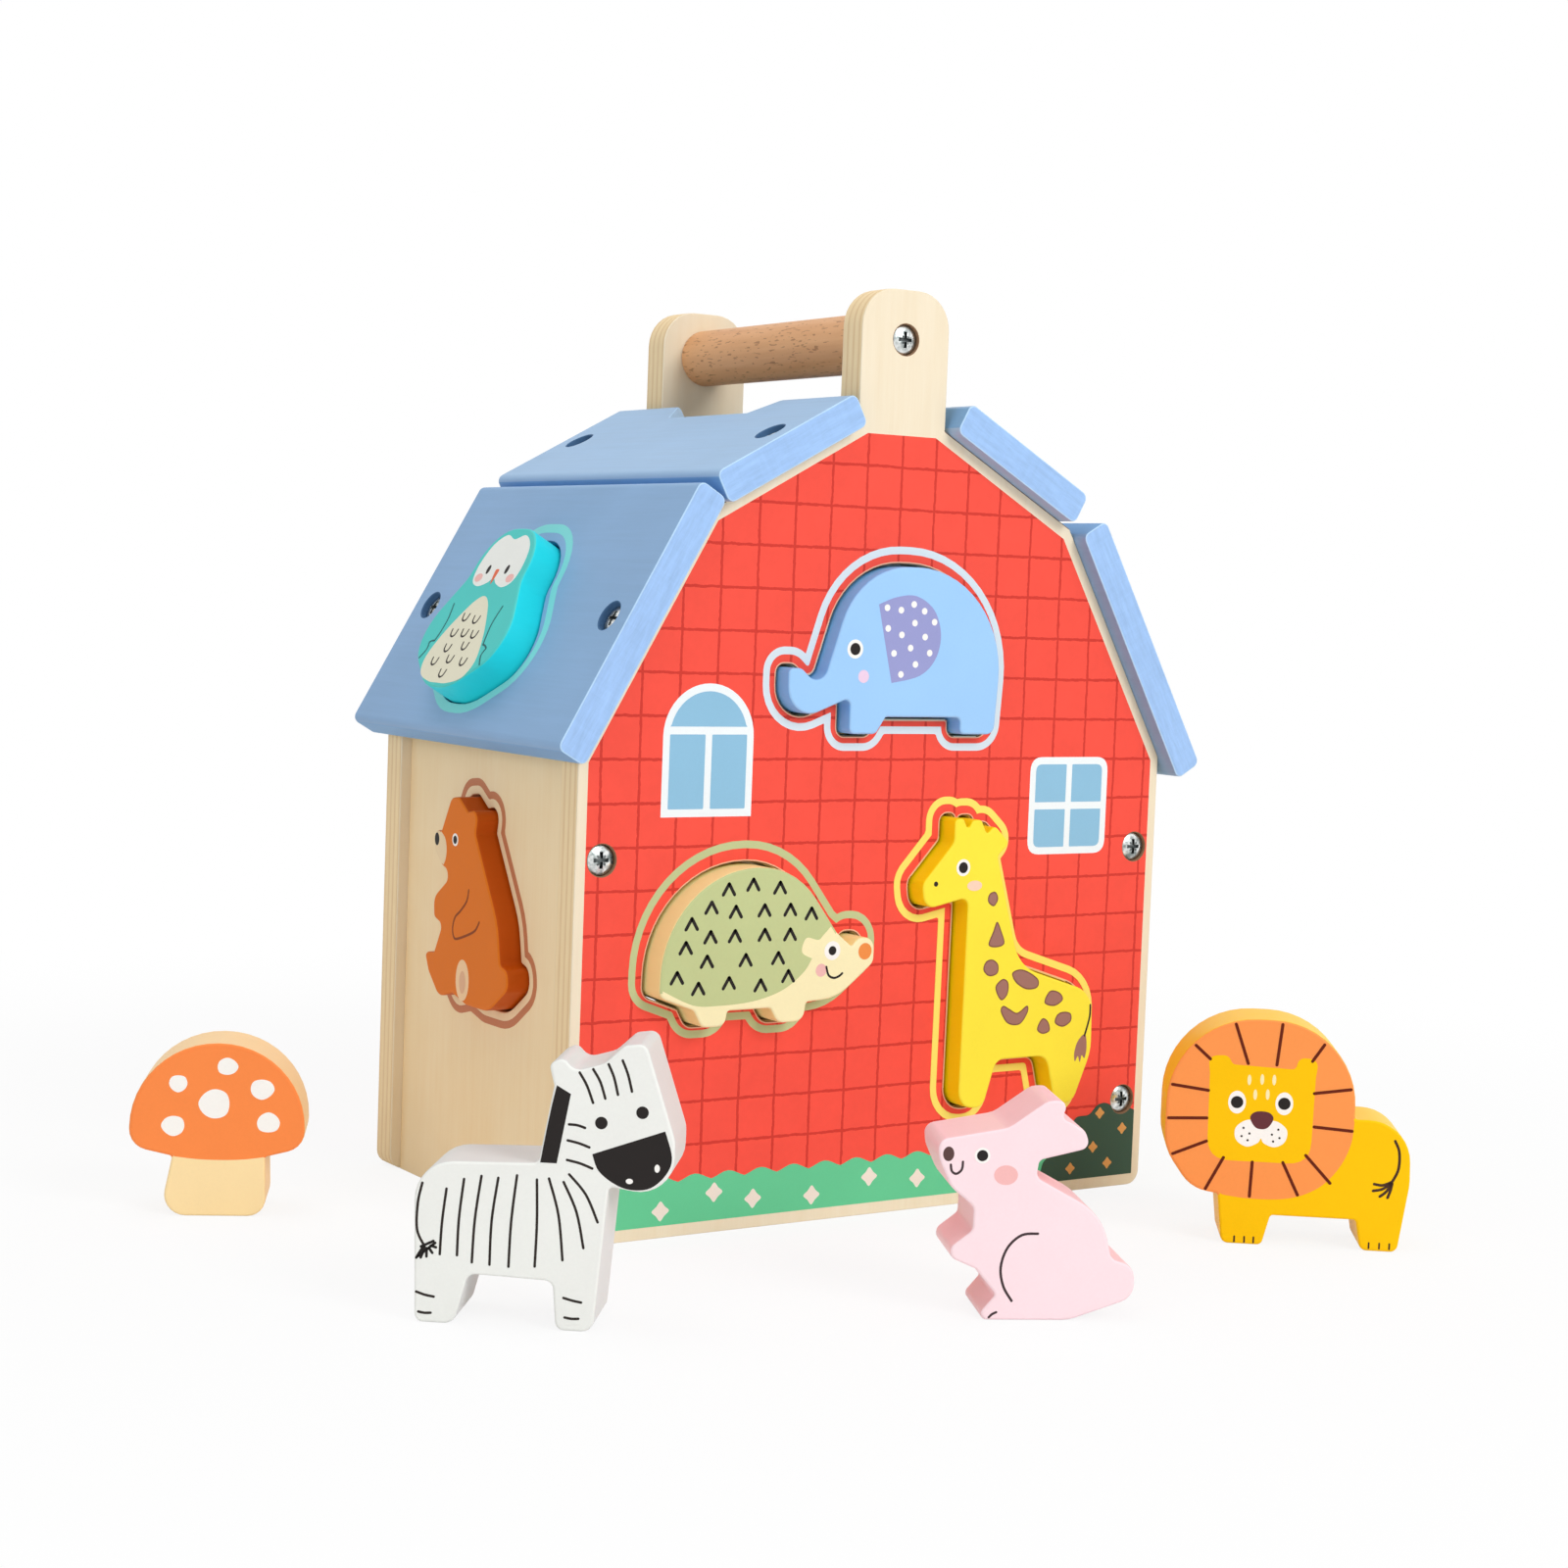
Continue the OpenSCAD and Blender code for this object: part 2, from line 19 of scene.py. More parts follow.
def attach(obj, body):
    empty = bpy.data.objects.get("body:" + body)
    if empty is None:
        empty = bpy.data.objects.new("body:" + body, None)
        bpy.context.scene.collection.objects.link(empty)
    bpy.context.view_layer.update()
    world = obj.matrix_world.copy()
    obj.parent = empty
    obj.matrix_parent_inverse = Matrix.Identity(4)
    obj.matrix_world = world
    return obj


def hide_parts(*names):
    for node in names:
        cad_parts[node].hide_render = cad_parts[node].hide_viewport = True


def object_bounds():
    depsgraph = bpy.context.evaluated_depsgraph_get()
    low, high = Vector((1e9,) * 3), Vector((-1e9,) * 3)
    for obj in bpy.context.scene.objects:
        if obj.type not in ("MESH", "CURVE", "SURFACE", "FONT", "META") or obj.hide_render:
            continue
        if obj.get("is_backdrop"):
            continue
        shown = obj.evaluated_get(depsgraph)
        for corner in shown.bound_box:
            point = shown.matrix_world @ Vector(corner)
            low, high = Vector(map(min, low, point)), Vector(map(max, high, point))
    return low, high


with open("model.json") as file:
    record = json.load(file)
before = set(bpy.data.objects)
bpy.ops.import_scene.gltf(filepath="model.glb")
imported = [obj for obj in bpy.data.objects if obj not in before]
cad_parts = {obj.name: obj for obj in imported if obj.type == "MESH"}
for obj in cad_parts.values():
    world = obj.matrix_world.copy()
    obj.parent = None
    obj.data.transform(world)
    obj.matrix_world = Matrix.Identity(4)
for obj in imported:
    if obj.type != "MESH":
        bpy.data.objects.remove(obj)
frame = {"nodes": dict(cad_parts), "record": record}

MM = 0.001
cad_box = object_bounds()
bodies = frame["record"]["behaviour"]["bodies"]
print("bodies:", ", ".join(bodies))
print("CAD box, mm:", [round(side / MM, 1) for side in cad_box[1] - cad_box[0]])

# %% [markdown]
# ## Writing shaders as sums
#
# Every finish below is a tree of shader nodes. Wiring nodes one by one hides the idea, so a small
# class stands for one output socket and turns Python's own signs into Math nodes: `1 - mask` adds a
# Subtract node. A second class holds a node tree, and its `node` method adds any other node. A third
# one adds to it what every finish of this toy needs.

# %% Sockets that can be added and multiplied
class Signal:
    """One output of a shader node; arithmetic on it adds Math nodes to the same material."""

    def __init__(self, wiring, socket):
        self.wiring = wiring
        self.socket = socket

    def math(self, operation, *values):
        inputs = dict(enumerate(values))
        return self.wiring.node("ShaderNodeMath", {"operation": operation}, inputs)

    def __add__(self, other):
        return self.math("ADD", self, other)

    def __sub__(self, other):
        return self.math("SUBTRACT", self, other)

    def __rsub__(self, other):
        return self.math("SUBTRACT", other, self)

    def __mul__(self, other):
        return self.math("MULTIPLY", self, other)

    def __lt__(self, other):
        return self.math("LESS_THAN", self, other)

    def __gt__(self, other):
        return self.math("GREATER_THAN", self, other)

    def __abs__(self):
        return self.math("ABSOLUTE", self)

    def least(self, other):
        return self.math("MINIMUM", self, other)

    def most(self, other):
        return self.math("MAXIMUM", self, other)

    def clear_of_lines(self, pitch):
        """Distance to the nearest of a set of lines, one every pitch."""
        return abs(self.math("WRAP", self, pitch / 2, -pitch / 2))

    __radd__ = __add__
    __rmul__ = __mul__


class Wiring:
    """The node tree of a material or a world."""

    def __init__(self, owner):
        owner.use_nodes = True
        self.tree = owner.node_tree

    def node(self, kind, settings=None, inputs=None, output=0):
        made = self.tree.nodes.new(kind)
        for name, value in (settings or {}).items():
            setattr(made, name, value)
        for key, value in (inputs or {}).items():
            if isinstance(value, Signal):
                self.tree.links.new(value.socket, made.inputs[key])
            else:
                made.inputs[key].default_value = value
        return Signal(self, made.outputs[output] if made.outputs else None)


class Finish(Wiring):
    """A material being built around one Principled shader."""

    def __init__(self, name, roughness, shine=0.2, metallic=0.0, coat=0.0):
        self.material = bpy.data.materials.new(name)
        super().__init__(self.material)
        self.principled = self.tree.nodes["Principled BSDF"]
        constants = {
            "Roughness": roughness,
            "Specular IOR Level": shine,
            "Metallic": metallic,
            "Coat Weight": coat,
            "Coat Roughness": 0.3,
        }
        for socket, value in constants.items():
            self.principled.inputs[socket].default_value = value

    def place(self):
        """Where on the object a point lies, in metres."""
        return self.node("ShaderNodeTexCoord", output="Object")

    def axes(self):
        """The same place as three signals in millimetres."""
        in_mm = self.node("ShaderNodeVectorMath", {"operation": "SCALE"}, {0: self.place(), "Scale": 1 / MM})
        return [self.node("ShaderNodeSeparateXYZ", None, {0: in_mm}, output=k) for k in range(3)]

    def noise(self, per_mm, detail=3.0, roughness=0.55, turn=0.0):
        """Cloudy noise from 0 to 1, with its own fineness along X, Y and Z, turned about Y."""
        mapped = self.node("ShaderNodeMapping", None, {
            "Vector": self.node("ShaderNodeVectorRotate", {"rotation_type": "Y_AXIS"}, {
                "Vector": self.place(), "Angle": turn}),
            "Scale": [fineness / MM for fineness in per_mm],
        })
        return self.node("ShaderNodeTexNoise", None, {
            "Vector": mapped, "Scale": 1.0, "Detail": detail, "Roughness": roughness})

    def mix(self, factor, first, second):
        return self.node("ShaderNodeMix", {"data_type": "RGBA"}, {0: factor, 6: first, 7: second}, output=2)

    def shade(self, colour, amount):
        """A colour made lighter or darker by a signal around 1."""
        grey = self.node("ShaderNodeCombineXYZ", None, {0: amount, 1: amount, 2: amount})
        return self.node("ShaderNodeVectorMath", {"operation": "MULTIPLY"}, {0: colour[:3], 1: grey})

    def feed(self, socket, signal):
        self.tree.links.new(signal.socket, self.principled.inputs[socket])

    def relief(self, height, depth_mm):
        self.feed("Normal", self.node("ShaderNodeBump", None, {
            "Strength": 1.0, "Distance": depth_mm * MM, "Height": height}))


def hue(code):
    """A colour as a paint chart writes it, turned into the linear numbers that shaders use."""
    parts = [int(code[k:k + 2], 16) / 255 for k in (1, 3, 5)]
    linear = [p / 12.92 if p <= 0.04045 else ((p + 0.055) / 1.055) ** 2.4 for p in parts]
    return (*linear, 1.0)


print("middle grey of a paint chart, as a shader counts it:", round(hue("#808080")[0], 3))

# %% [markdown]
# ## Wood
#
# Birch plywood has two looks. Its faces are one pale veneer with long faint streaks. Its cut edges
# show the layers: thin sheets whose grain runs lengthways and crossways in turn, so they come out
# light and dark. Both are made from noise that is stretched along the grain, and the edge adds a
# wave across the board's thickness.

# %% Birch faces, birch edges and the beech rod
birch_pale, birch_deep = hue("#F8EDD6"), hue("#EBD8B5")
wall_pale, wall_deep = hue("#FFECC6"), hue("#F4D5A2")
layer_pale, layer_deep = hue("#FFE9BE"), hue("#D8AE76")


def birch_face(name, grain, pale=birch_pale, deep=birch_deep):
    """Veneer; grain is how fine the streaks are along X, Y and Z, per millimetre."""
    finish = Finish(name, roughness=0.5)
    streaks = finish.noise(grain, detail=5.0, roughness=0.65)
    clouds = finish.noise((0.03, 0.03, 0.03), detail=3.0)
    finish.feed("Base Color", finish.mix(streaks * 0.6 + clouds * 0.8 - 0.2, pale, deep))
    finish.feed("Roughness", 0.44 + streaks * 0.14)
    finish.relief(streaks, 0.03)
    return finish.material


def birch_edge(name, axis, plies=7, board_mm=9.0):
    """Sawn plywood edge; axis is the one across the board's thickness."""
    finish = Finish(name, roughness=0.65)
    across = finish.axes()[axis]
    drift = [0.02, 0.02, 0.02]
    drift[axis] = 0.0
    wander = finish.noise(drift, detail=2.0) * 0.5
    phase = (across + wander) * (math.pi * plies / board_mm)
    wave = phase.math("SINE", phase)
    fibre = [0.12, 0.12, 0.12]
    fibre[axis] = 1.6
    streaks = finish.noise(fibre, detail=4.0, roughness=0.7)
    dark = (wave.most(0.0) * 0.32 + streaks * 0.5 - 0.05).most(0.0).least(1.0)
    finish.feed("Base Color", finish.mix(dark, layer_pale, layer_deep))
    finish.relief(streaks, 0.06)
    return finish.material


def beech_rod(name):
    """Turned beech: warm, streaked along the rod, with the short dark flecks that beech shows."""
    finish = Finish(name, roughness=0.48, shine=0.3, coat=0.05)
    streaks = finish.noise((0.35, 0.02, 0.35), detail=5.0, roughness=0.6)
    flecks = finish.noise((1.7, 0.28, 1.7), detail=1.0)
    wood = finish.mix(streaks, hue("#F3BD8A"), hue("#C98D5C"))
    finish.feed("Base Color", finish.mix((flecks > 0.65) * 0.6, wood, hue("#8A5832")))
    finish.feed("Roughness", 0.42 + streaks * 0.16)
    finish.relief(streaks - flecks * 0.5, 0.05)
    return finish.material


gable_veneer = birch_face("birch_gable", (0.5, 0.5, 0.03))
wall_veneer = birch_face("birch_wall", (0.5, 0.5, 0.03), wall_pale, wall_deep)
level_veneer = birch_face("birch_level", (0.03, 0.5, 0.5))
gable_edge = birch_edge("birch_gable_edge", 1)
wall_edge = birch_edge("birch_wall_edge", 0)
floor_edge = birch_edge("birch_floor_edge", 2, plies=5, board_mm=6.0)
beech = beech_rod("beech_rod")
woods = (gable_veneer, wall_veneer, level_veneer, gable_edge, wall_edge, floor_edge, beech)
print("woods:", ", ".join(wood.name for wood in woods))

# %% [markdown]
# ## Paint and ink
#
# The blocks and the roof are stained and sprayed: an even satin colour through which the grain still
# shows a little. The printed faces carry flat ink. Neither is one flat number: the sprayed coat is
# cloudy and follows the fibres in gloss and relief, and the ink is slightly grainy.

# %% Sprayed paint, roof paint and ink
def sprayed(name, colour, strength=0.10):
    """Satin paint on a block, with the end grain and the saw marks just showing."""
    finish = Finish(name, roughness=0.42)
    fibres = finish.noise((0.25, 0.25, 0.9), detail=4.0, roughness=0.6)
    clouds = finish.noise((0.05, 0.05, 0.05), detail=2.0)
    amount = 1 + (fibres * 0.6 + clouds * 0.4 - 0.5) * strength
    finish.feed("Base Color", finish.shade(hue(colour), amount))
    finish.feed("Roughness", 0.36 + fibres * 0.14)
    finish.relief(fibres, 0.04)
    return finish.material


def roof_paint(name, fall, colour, layered):
    """Paint on a board that falls at this angle. A sawn end soaks it up unevenly, layer by layer."""
    finish = Finish(name, roughness=0.5)
    layers = finish.noise((0.09, 0.03, 0.75), detail=5.0, roughness=0.75, turn=-fall)
    fibres = finish.noise((0.7, 0.025, 0.05), detail=5.0, roughness=0.65, turn=-fall)
    clouds = finish.noise((0.03, 0.03, 0.03), detail=2.0)
    amount = 1 + (layers - 0.5) * layered + (fibres - 0.5) * 0.16 + (clouds - 0.5) * 0.12
    finish.feed("Base Color", finish.shade(hue(colour), amount))
    finish.feed("Roughness", 0.42 + layers * 0.16)
    finish.relief(layers * 0.6 + fibres * 0.4, 0.05)
    return finish.material


def ink(name, colour):
    """Flat printing ink on a sanded face."""
    finish = Finish(name, roughness=0.5, shine=0.12)
    grain = finish.noise((1.4, 1.4, 1.4), detail=2.0)
    clouds = finish.noise((0.06, 0.06, 0.06), detail=2.0)
    amount = 1 + (grain - 0.5) * 0.05 + (clouds - 0.5) * 0.07
    finish.feed("Base Color", finish.shade(hue(colour), amount))
    finish.feed("Roughness", 0.45 + grain * 0.1)
    return finish.material


white_ink = ink("ink_white", "#FCFAF5")
black_ink = ink("ink_black", "#292524")
line_ink = ink("ink_line", "#322B28")
blush_ink = ink("ink_blush", "#F3BFB9")
frame_ink = ink("ink_frame", "#F3FAFC")
pane_ink = ink("ink_pane", "#91C3E0")
inks = (white_ink, black_ink, line_ink, blush_ink, frame_ink, pane_ink)
print("inks:", ", ".join(shared.name for shared in inks))

# %% [markdown]
# ## Drawing in millimetres
#
# Every print is a flat outline on one face. The helpers below give outlines as lists of points:
# ovals, smooth curves through a few points, lines with round ends and corners with a radius. A smooth
# curve is a Catmull-Rom spline, which passes through the points it is given, so a drawing can be
# written down as the handful of places that one would mark on paper.

# %% Ovals, curves, lines and corners
def point(u, v):
    return Vector((u, v))


def oval(u, v, width, height=None, steps=28):
    """An ellipse about (u, v), or a circle if it has only a width."""
    half_w, half_h = width / 2, (height or width) / 2
    angles = [2 * math.pi * k / steps for k in range(steps)]
    return [point(u + half_w * math.cos(a), v + half_h * math.sin(a)) for a in angles]


def curve(marks, closed=False, steps=6):
    """A smooth curve through the marks."""
    marks = [point(*m) for m in marks]
    n = len(marks)
    path = []
    for i in range(n if closed else n - 1):
        near = [marks[(i + k) % n] if closed else marks[min(max(i + k, 0), n - 1)] for k in (-1, 0, 1, 2)]
        a, b, c, d = near
        for k in range(steps):
            t = k / steps
            path.append(0.5 * (2 * b + (c - a) * t + (2 * a - 5 * b + 4 * c - d) * t ** 2
                               + (3 * b - a - 3 * c + d) * t ** 3))
    return path if closed else path + [marks[-1]]


def line(marks, width, ends=6):
    """A drawn line of this width with round ends, as a closed outline."""
    path = curve(marks) if len(marks) > 2 else [point(*m) for m in marks]
    ways = [(path[min(i + 1, len(path) - 1)] - path[max(i - 1, 0)]).normalized() for i in range(len(path))]
    sides = [Vector((-w.y, w.x)) * width / 2 for w in ways]

    def cap(centre, side):
        turned = Vector((side.y, -side.x))
        angles = [math.pi * k / ends for k in range(1, ends)]
        return [centre + side * math.cos(a) + turned * math.sin(a) for a in angles]

    left = [p + s for p, s in zip(path, sides)]
    right = [p - s for p, s in zip(path, sides)]
    outline = left + cap(path[-1], sides[-1]) + right[::-1] + cap(path[0], -sides[0])
    return outline[::-1]


def cornered(corners, steps=6):
    """A closed outline with each corner (u, v, radius) rounded by an arc."""
    path = []
    n = len(corners)
    for i, (u, v, radius) in enumerate(corners):
        p = point(u, v)
        into = (p - point(*corners[i - 1][:2])).normalized()
        out = (point(*corners[(i + 1) % n][:2]) - p).normalized()
        turn = into.angle_signed(out, 0.0)
        reach = radius * math.tan(abs(turn) / 2)
        start, end = p - into * reach, p + out * reach
        for k in range(steps + 1):
            t = k / steps
            path.append(start.lerp(p, t).lerp(p.lerp(end, t), t))
    return path


FINE, SLACK = 0.15, 0.02
CORNER_STEPS = 3


def gap_line(outline, gap, spacing=0.6):
    """The line that stays a gap outside a closed outline, or inside it for a gap below zero.

    Points that come too near to the outline, or to the point before, are left out."""
    edges = list(zip(outline, outline[1:] + outline[:1]))
    wanted = []
    for (before, p), (_, after) in zip(edges, edges[1:] + edges[:1]):
        first, second = (p - before).normalized(), (after - p).normalized()
        out_first, out_second = Vector((first.y, -first.x)), Vector((second.y, -second.x))
        ways = [out_first.lerp(out_second, k / CORNER_STEPS) for k in range(CORNER_STEPS + 1)]
        wanted += [p + way.normalized() * gap for way in ways]
        stretch = max(1, round((after - p).length / spacing))
        wanted += [p.lerp(after, k / stretch) + out_second * gap for k in range(1, stretch)]

    def distance(q, a, b):
        along = b - a
        t = min(max((q - a).dot(along) / along.length_squared, 0.0), 1.0)
        return (q - a - along * t).length

    kept = []
    for q in wanted:
        clear = min(distance(q, a, b) for a, b in edges) > abs(gap) - SLACK
        if clear and (not kept or (q - kept[-1]).length > FINE):
            kept.append(q)
    return kept


def moved(outline, by):
    """The same outline, set off by this much."""
    return [p + point(*by) for p in outline]


def stretch_of(outline, start, end):
    """The part of a closed outline from near one mark round to near another, counterclockwise."""
    first = min(range(len(outline)), key=lambda i: (outline[i] - point(*start)).length)
    last = min(range(len(outline)), key=lambda i: (outline[i] - point(*end)).length)
    return [outline[(first + k) % len(outline)] for k in range((last - first) % len(outline) + 1)]


print("a line 2 mm outside a 10 mm circle has", len(gap_line(oval(0, 0, 10), 2)), "points")

# %% [markdown]
# ## Softened boards and blocks
#
# A CAD solid has knife edges, and a sanded toy doesn't. Each board and block is copied from its node,
# its triangles are merged back into whole faces, and its sharp edges are rounded with bmesh's bevel. A
# Bevel modifier would do the same, but only a finished mesh has faces that can be given ink one by one.
# A block's printed face is then simply its largest face that looks forward or to the left, and the
# face's own corners are the outline that the prints and the rings round the holes follow.

# %% A wooden piece with ink on its face
# Angles between faces, then lengths in millimetres. BORDER is a share of the rounding.
SHARP, CREASE, FLAT = math.radians(30), math.radians(35), math.radians(0.5)
SAME_SPOT = 0.002
BORDER = 1.2
INK_STEP, INK_ROOT = 0.03, 0.05
BORE_REACH = 3.0


class Piece:
    """A softened copy of a CAD node, to which ink is added before it becomes an object."""

    def __init__(self, node, edge_mm, body_finish, segments=3):
        self.node = node
        self.finishes = [body_finish]
        self.bm = bmesh.new()
        self.bm.from_mesh(frame["nodes"][node].data)
        bmesh.ops.remove_doubles(self.bm, verts=self.bm.verts, dist=SAME_SPOT * MM)
        bmesh.ops.dissolve_limit(self.bm, angle_limit=FLAT, verts=self.bm.verts, edges=self.bm.edges)
        for face in self.bm.faces:
            face.material_index = 0
        forward = [f for f in self.bm.faces if f.normal.x + f.normal.y < -0.1]
        front = max(forward, key=lambda f: f.calc_area())
        self.look_along(front.normal.copy())
        self.level = front.calc_center_median().dot(self.normal)
        self.shift = Vector((0, 0))
        self.outline = [self.flat(v.co) for v in front.verts]
        self.border_pierced_faces(edge_mm * BORDER)
        sharp = [e for e in self.bm.edges if e.calc_face_angle(0.0) > SHARP]
        bmesh.ops.bevel(
            self.bm, geom=sharp, offset=edge_mm * MM, offset_type="OFFSET", segments=segments,
            profile=0.5, affect="EDGES", material=-1, clamp_overlap=False)
        # The new fillings can hold a few faces that look inwards.
        bmesh.ops.recalc_face_normals(self.bm, faces=self.bm.faces)
        for face in self.bm.faces:
            face.smooth = True
        self.edge_mm = edge_mm

    def look_along(self, normal):
        """Takes the side that looks this way as the one to draw on."""
        self.normal = normal
        self.right = Vector((0, 0, 1)).cross(normal).normalized()
        self.up = normal.cross(self.right)

    def border_pierced_faces(self, width_mm):
        """A face with holes comes in several parts. A border round it and a new filling keep it even."""
        planes = {}
        for face in self.bm.faces:
            if any(e.calc_face_angle(1.0) < FLAT for e in face.edges):
                depth = face.calc_center_median().dot(face.normal) / MM
                key = (*(round(c, 2) for c in face.normal), round(depth, 1))
                planes.setdefault(key, []).append(face)
        for faces in planes.values():
            outward = faces[0].normal.copy()
            bmesh.ops.inset_region(
                self.bm, faces=faces, thickness=width_mm * MM, use_boundary=True,
                use_even_offset=True)
            inner = set(faces)
            rim = {e for f in faces for e in f.edges if not inner.issuperset(e.link_faces)}
            bmesh.ops.delete(self.bm, geom=faces, context="FACES_KEEP_BOUNDARY")
            bmesh.ops.triangle_fill(self.bm, use_beauty=True, edges=list(rim), normal=outward)

    def flat(self, place):
        """A place in space as (u, v) on this piece's face, in millimetres."""
        return Vector((place.dot(self.right), place.dot(self.up))) / MM + self.shift

    def space(self, mark, height):
        """A mark on the face, raised by a height in millimetres, as a place in space."""
        u, v = (mark - self.shift) * MM
        return self.right * u + self.up * v + self.normal * (self.level + height * MM)

    def move_drawing(self, u, v):
        """Moves all that is drawn from now on by this much."""
        self.shift = Vector((-u, -v))
        self.outline = moved(self.outline, self.shift)
        self.flat_edge = moved(self.flat_edge, self.shift)

    def start_drawing_at(self, middle, bottom):
        """Counts u and v so that the outline's middle and its lowest point have these values."""
        us, vs = [p.x for p in self.outline], [p.y for p in self.outline]
        self.move_drawing((min(us) + max(us)) / 2 - middle, min(vs) - bottom)

    def finish_faces(self, finish, wanted):
        """Gives a finish to the faces that the test picks."""
        self.finishes.append(finish)
        picked = [f for f in self.bm.faces if f.material_index == 0 and wanted(f)]
        for face in picked:
            face.material_index = len(self.finishes) - 1
        return len(picked)

    def print_front(self, finish, facing=0.5):
        """Gives a finish to the printed face and to as much of its rounded rim as faces the same way."""
        self.finish_faces(finish, lambda f: f.normal.dot(self.normal) > facing
                          and self.level - f.calc_center_median().dot(self.normal) < self.edge_mm * MM)

    def ink_rim(self, finish, path):
        """Carries ink over the rounded rim, along a stretch of the face's edge."""
        for face in self.bm.faces:
            if face.smooth and 0.5 < face.normal.dot(self.normal) < 0.999:
                mark = self.flat(face.calc_center_median())
                if min((mark - p).length for p in path) < self.edge_mm:
                    face.material_index = self.finishes.index(finish)

    def ink_to_edge(self, finish, stretch, inner):
        """Inks the face from a stretch of its edge to the inner line that closes it, and the rim there."""
        self.ink(finish, [stretch + inner])
        self.ink_rim(finish, stretch)

    def ink(self, finish, outlines, layer=1, holes=()):
        """Adds flat slabs of ink, each layer lying a little higher; holes are outlines cut from them."""
        if finish not in self.finishes:
            self.finishes.append(finish)
        edges = []
        faces = []
        for outline in [*outlines, *holes]:
            verts = [self.bm.verts.new(self.space(mark, -INK_ROOT)) for mark in outline]
            if holes:
                edges += [self.bm.edges.new(pair) for pair in zip(verts, verts[1:] + verts[:1])]
            else:
                faces.append(self.bm.faces.new(verts))
        if holes:
            filled = bmesh.ops.triangle_fill(self.bm, use_beauty=True, edges=edges, normal=self.normal)
            faces = [g for g in filled["geom"] if isinstance(g, bmesh.types.BMFace)]
        raised = bmesh.ops.extrude_face_region(self.bm, geom=faces, use_keep_orig=True)["geom"]
        top = [g for g in raised if isinstance(g, bmesh.types.BMVert)]
        lift = self.normal * (INK_ROOT + INK_STEP * layer) * MM
        bmesh.ops.translate(self.bm, vec=lift, verts=top)
        shell = {f for vert in top for f in vert.link_faces} | set(faces)
        for face in shell:
            face.material_index = self.finishes.index(finish)
            face.smooth = False
        bmesh.ops.recalc_face_normals(self.bm, faces=list(shell))

    def done(self, slot):
        """Makes the object, and lets it ride on its node's body in the node's place."""
        mesh = bpy.data.meshes.new(self.node + "_finished")
        self.bm.to_mesh(mesh)
        self.bm.free()
        for finish in self.finishes:
            mesh.materials.append(finish)
        mesh.set_sharp_from_angle(angle=CREASE)
        piece = bpy.data.objects.new(self.node + "_finished", mesh)
        bpy.context.scene.collection.objects.link(piece)
        piece.modifiers.new("flat faces stay flat", "WEIGHTED_NORMAL").keep_sharp = True
        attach(piece, next(body for body, nodes in bodies.items() if self.node in nodes))
        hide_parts(self.node)
        print(f"{self.node}: {len(mesh.polygons)} faces, {len(self.finishes)} finishes")
        return piece


def in_bore(face):
    """Finds the walls of screw holes and cross recesses.

    They are small faces that meet a neighbour in an inner corner."""
    middle = face.calc_center_median()
    small = max((v.co - middle).length for v in face.verts) < BORE_REACH * MM
    return small and any(not e.is_convex for e in face.edges if e.calc_face_angle(0.0) > FLAT)


BLOCK_EDGE = 0.7
blocks = {}


def block(name, sides, face):
    """A block with painted sides and a printed face, ready to be drawn on."""
    piece = Piece(name + "_block", BLOCK_EDGE, sprayed(name + "_sides", sides))
    piece.print_front(ink(name + "_face", face))
    piece.flat_edge = gap_line(piece.outline, -BLOCK_EDGE)
    blocks[name] = piece
    print(f"{name}: an outline of {len(piece.outline)} points")
    return piece


def eye(piece, u, v, white, pupil):
    """A round white with a round pupil, each given by its width."""
    piece.ink(white_ink, [oval(u, v, white)], layer=2)
    piece.ink(black_ink, [oval(u, v, pupil)], layer=3)


print("rounded on blocks, mm:", BLOCK_EDGE)

# %% [markdown]
# ## The elephant
#
# Light blue, with a violet ear full of white dots. The ear is straight on one side and round on the
# other, so it is a smooth curve that closes with a straight line.

# %% Elephant
elephant = block("elephant", "#82C2FC", "#A2D0FC")
elephant.move_drawing(0.7, 0)
ear = curve([
    (-9.5, 163.5), (-4, 165.5), (2.5, 166), (8.5, 162.5), (11, 156), (9.5, 149.5), (4.5, 145), (-4.5, 143)])
elephant.ink(ink("elephant_ear", "#9B9FD2"), [ear[::-1]])
ear_dots = [
    (-6.8, 162.7), (-2.3, 162.2), (1.8, 163.8), (5.3, 162.1), (2.3, 158.9), (8.7, 159.3), (-6.3, 157.3),
    (-1.8, 155.7), (5.8, 155.3), (1.2, 152.3), (-4.1, 150.8), (7.5, 151.1), (3, 148), (-1.6, 145.3)]
elephant.ink(white_ink, [oval(u, v, 1.8, steps=14) for u, v in ear_dots], layer=2)
eye(elephant, -16.5, 151.7, 5, 3.2)
elephant.ink(ink("elephant_blush", "#F0D2EA"), [oval(-13.5, 144.6, 3.4)])

# %% [markdown]
# ## The hedgehog
#
# A sage back over a cream face. The edge between them is drawn, and the rest of the back follows the
# block's own outline, so the ink is the stretch of the outline over the back closed by that curve.

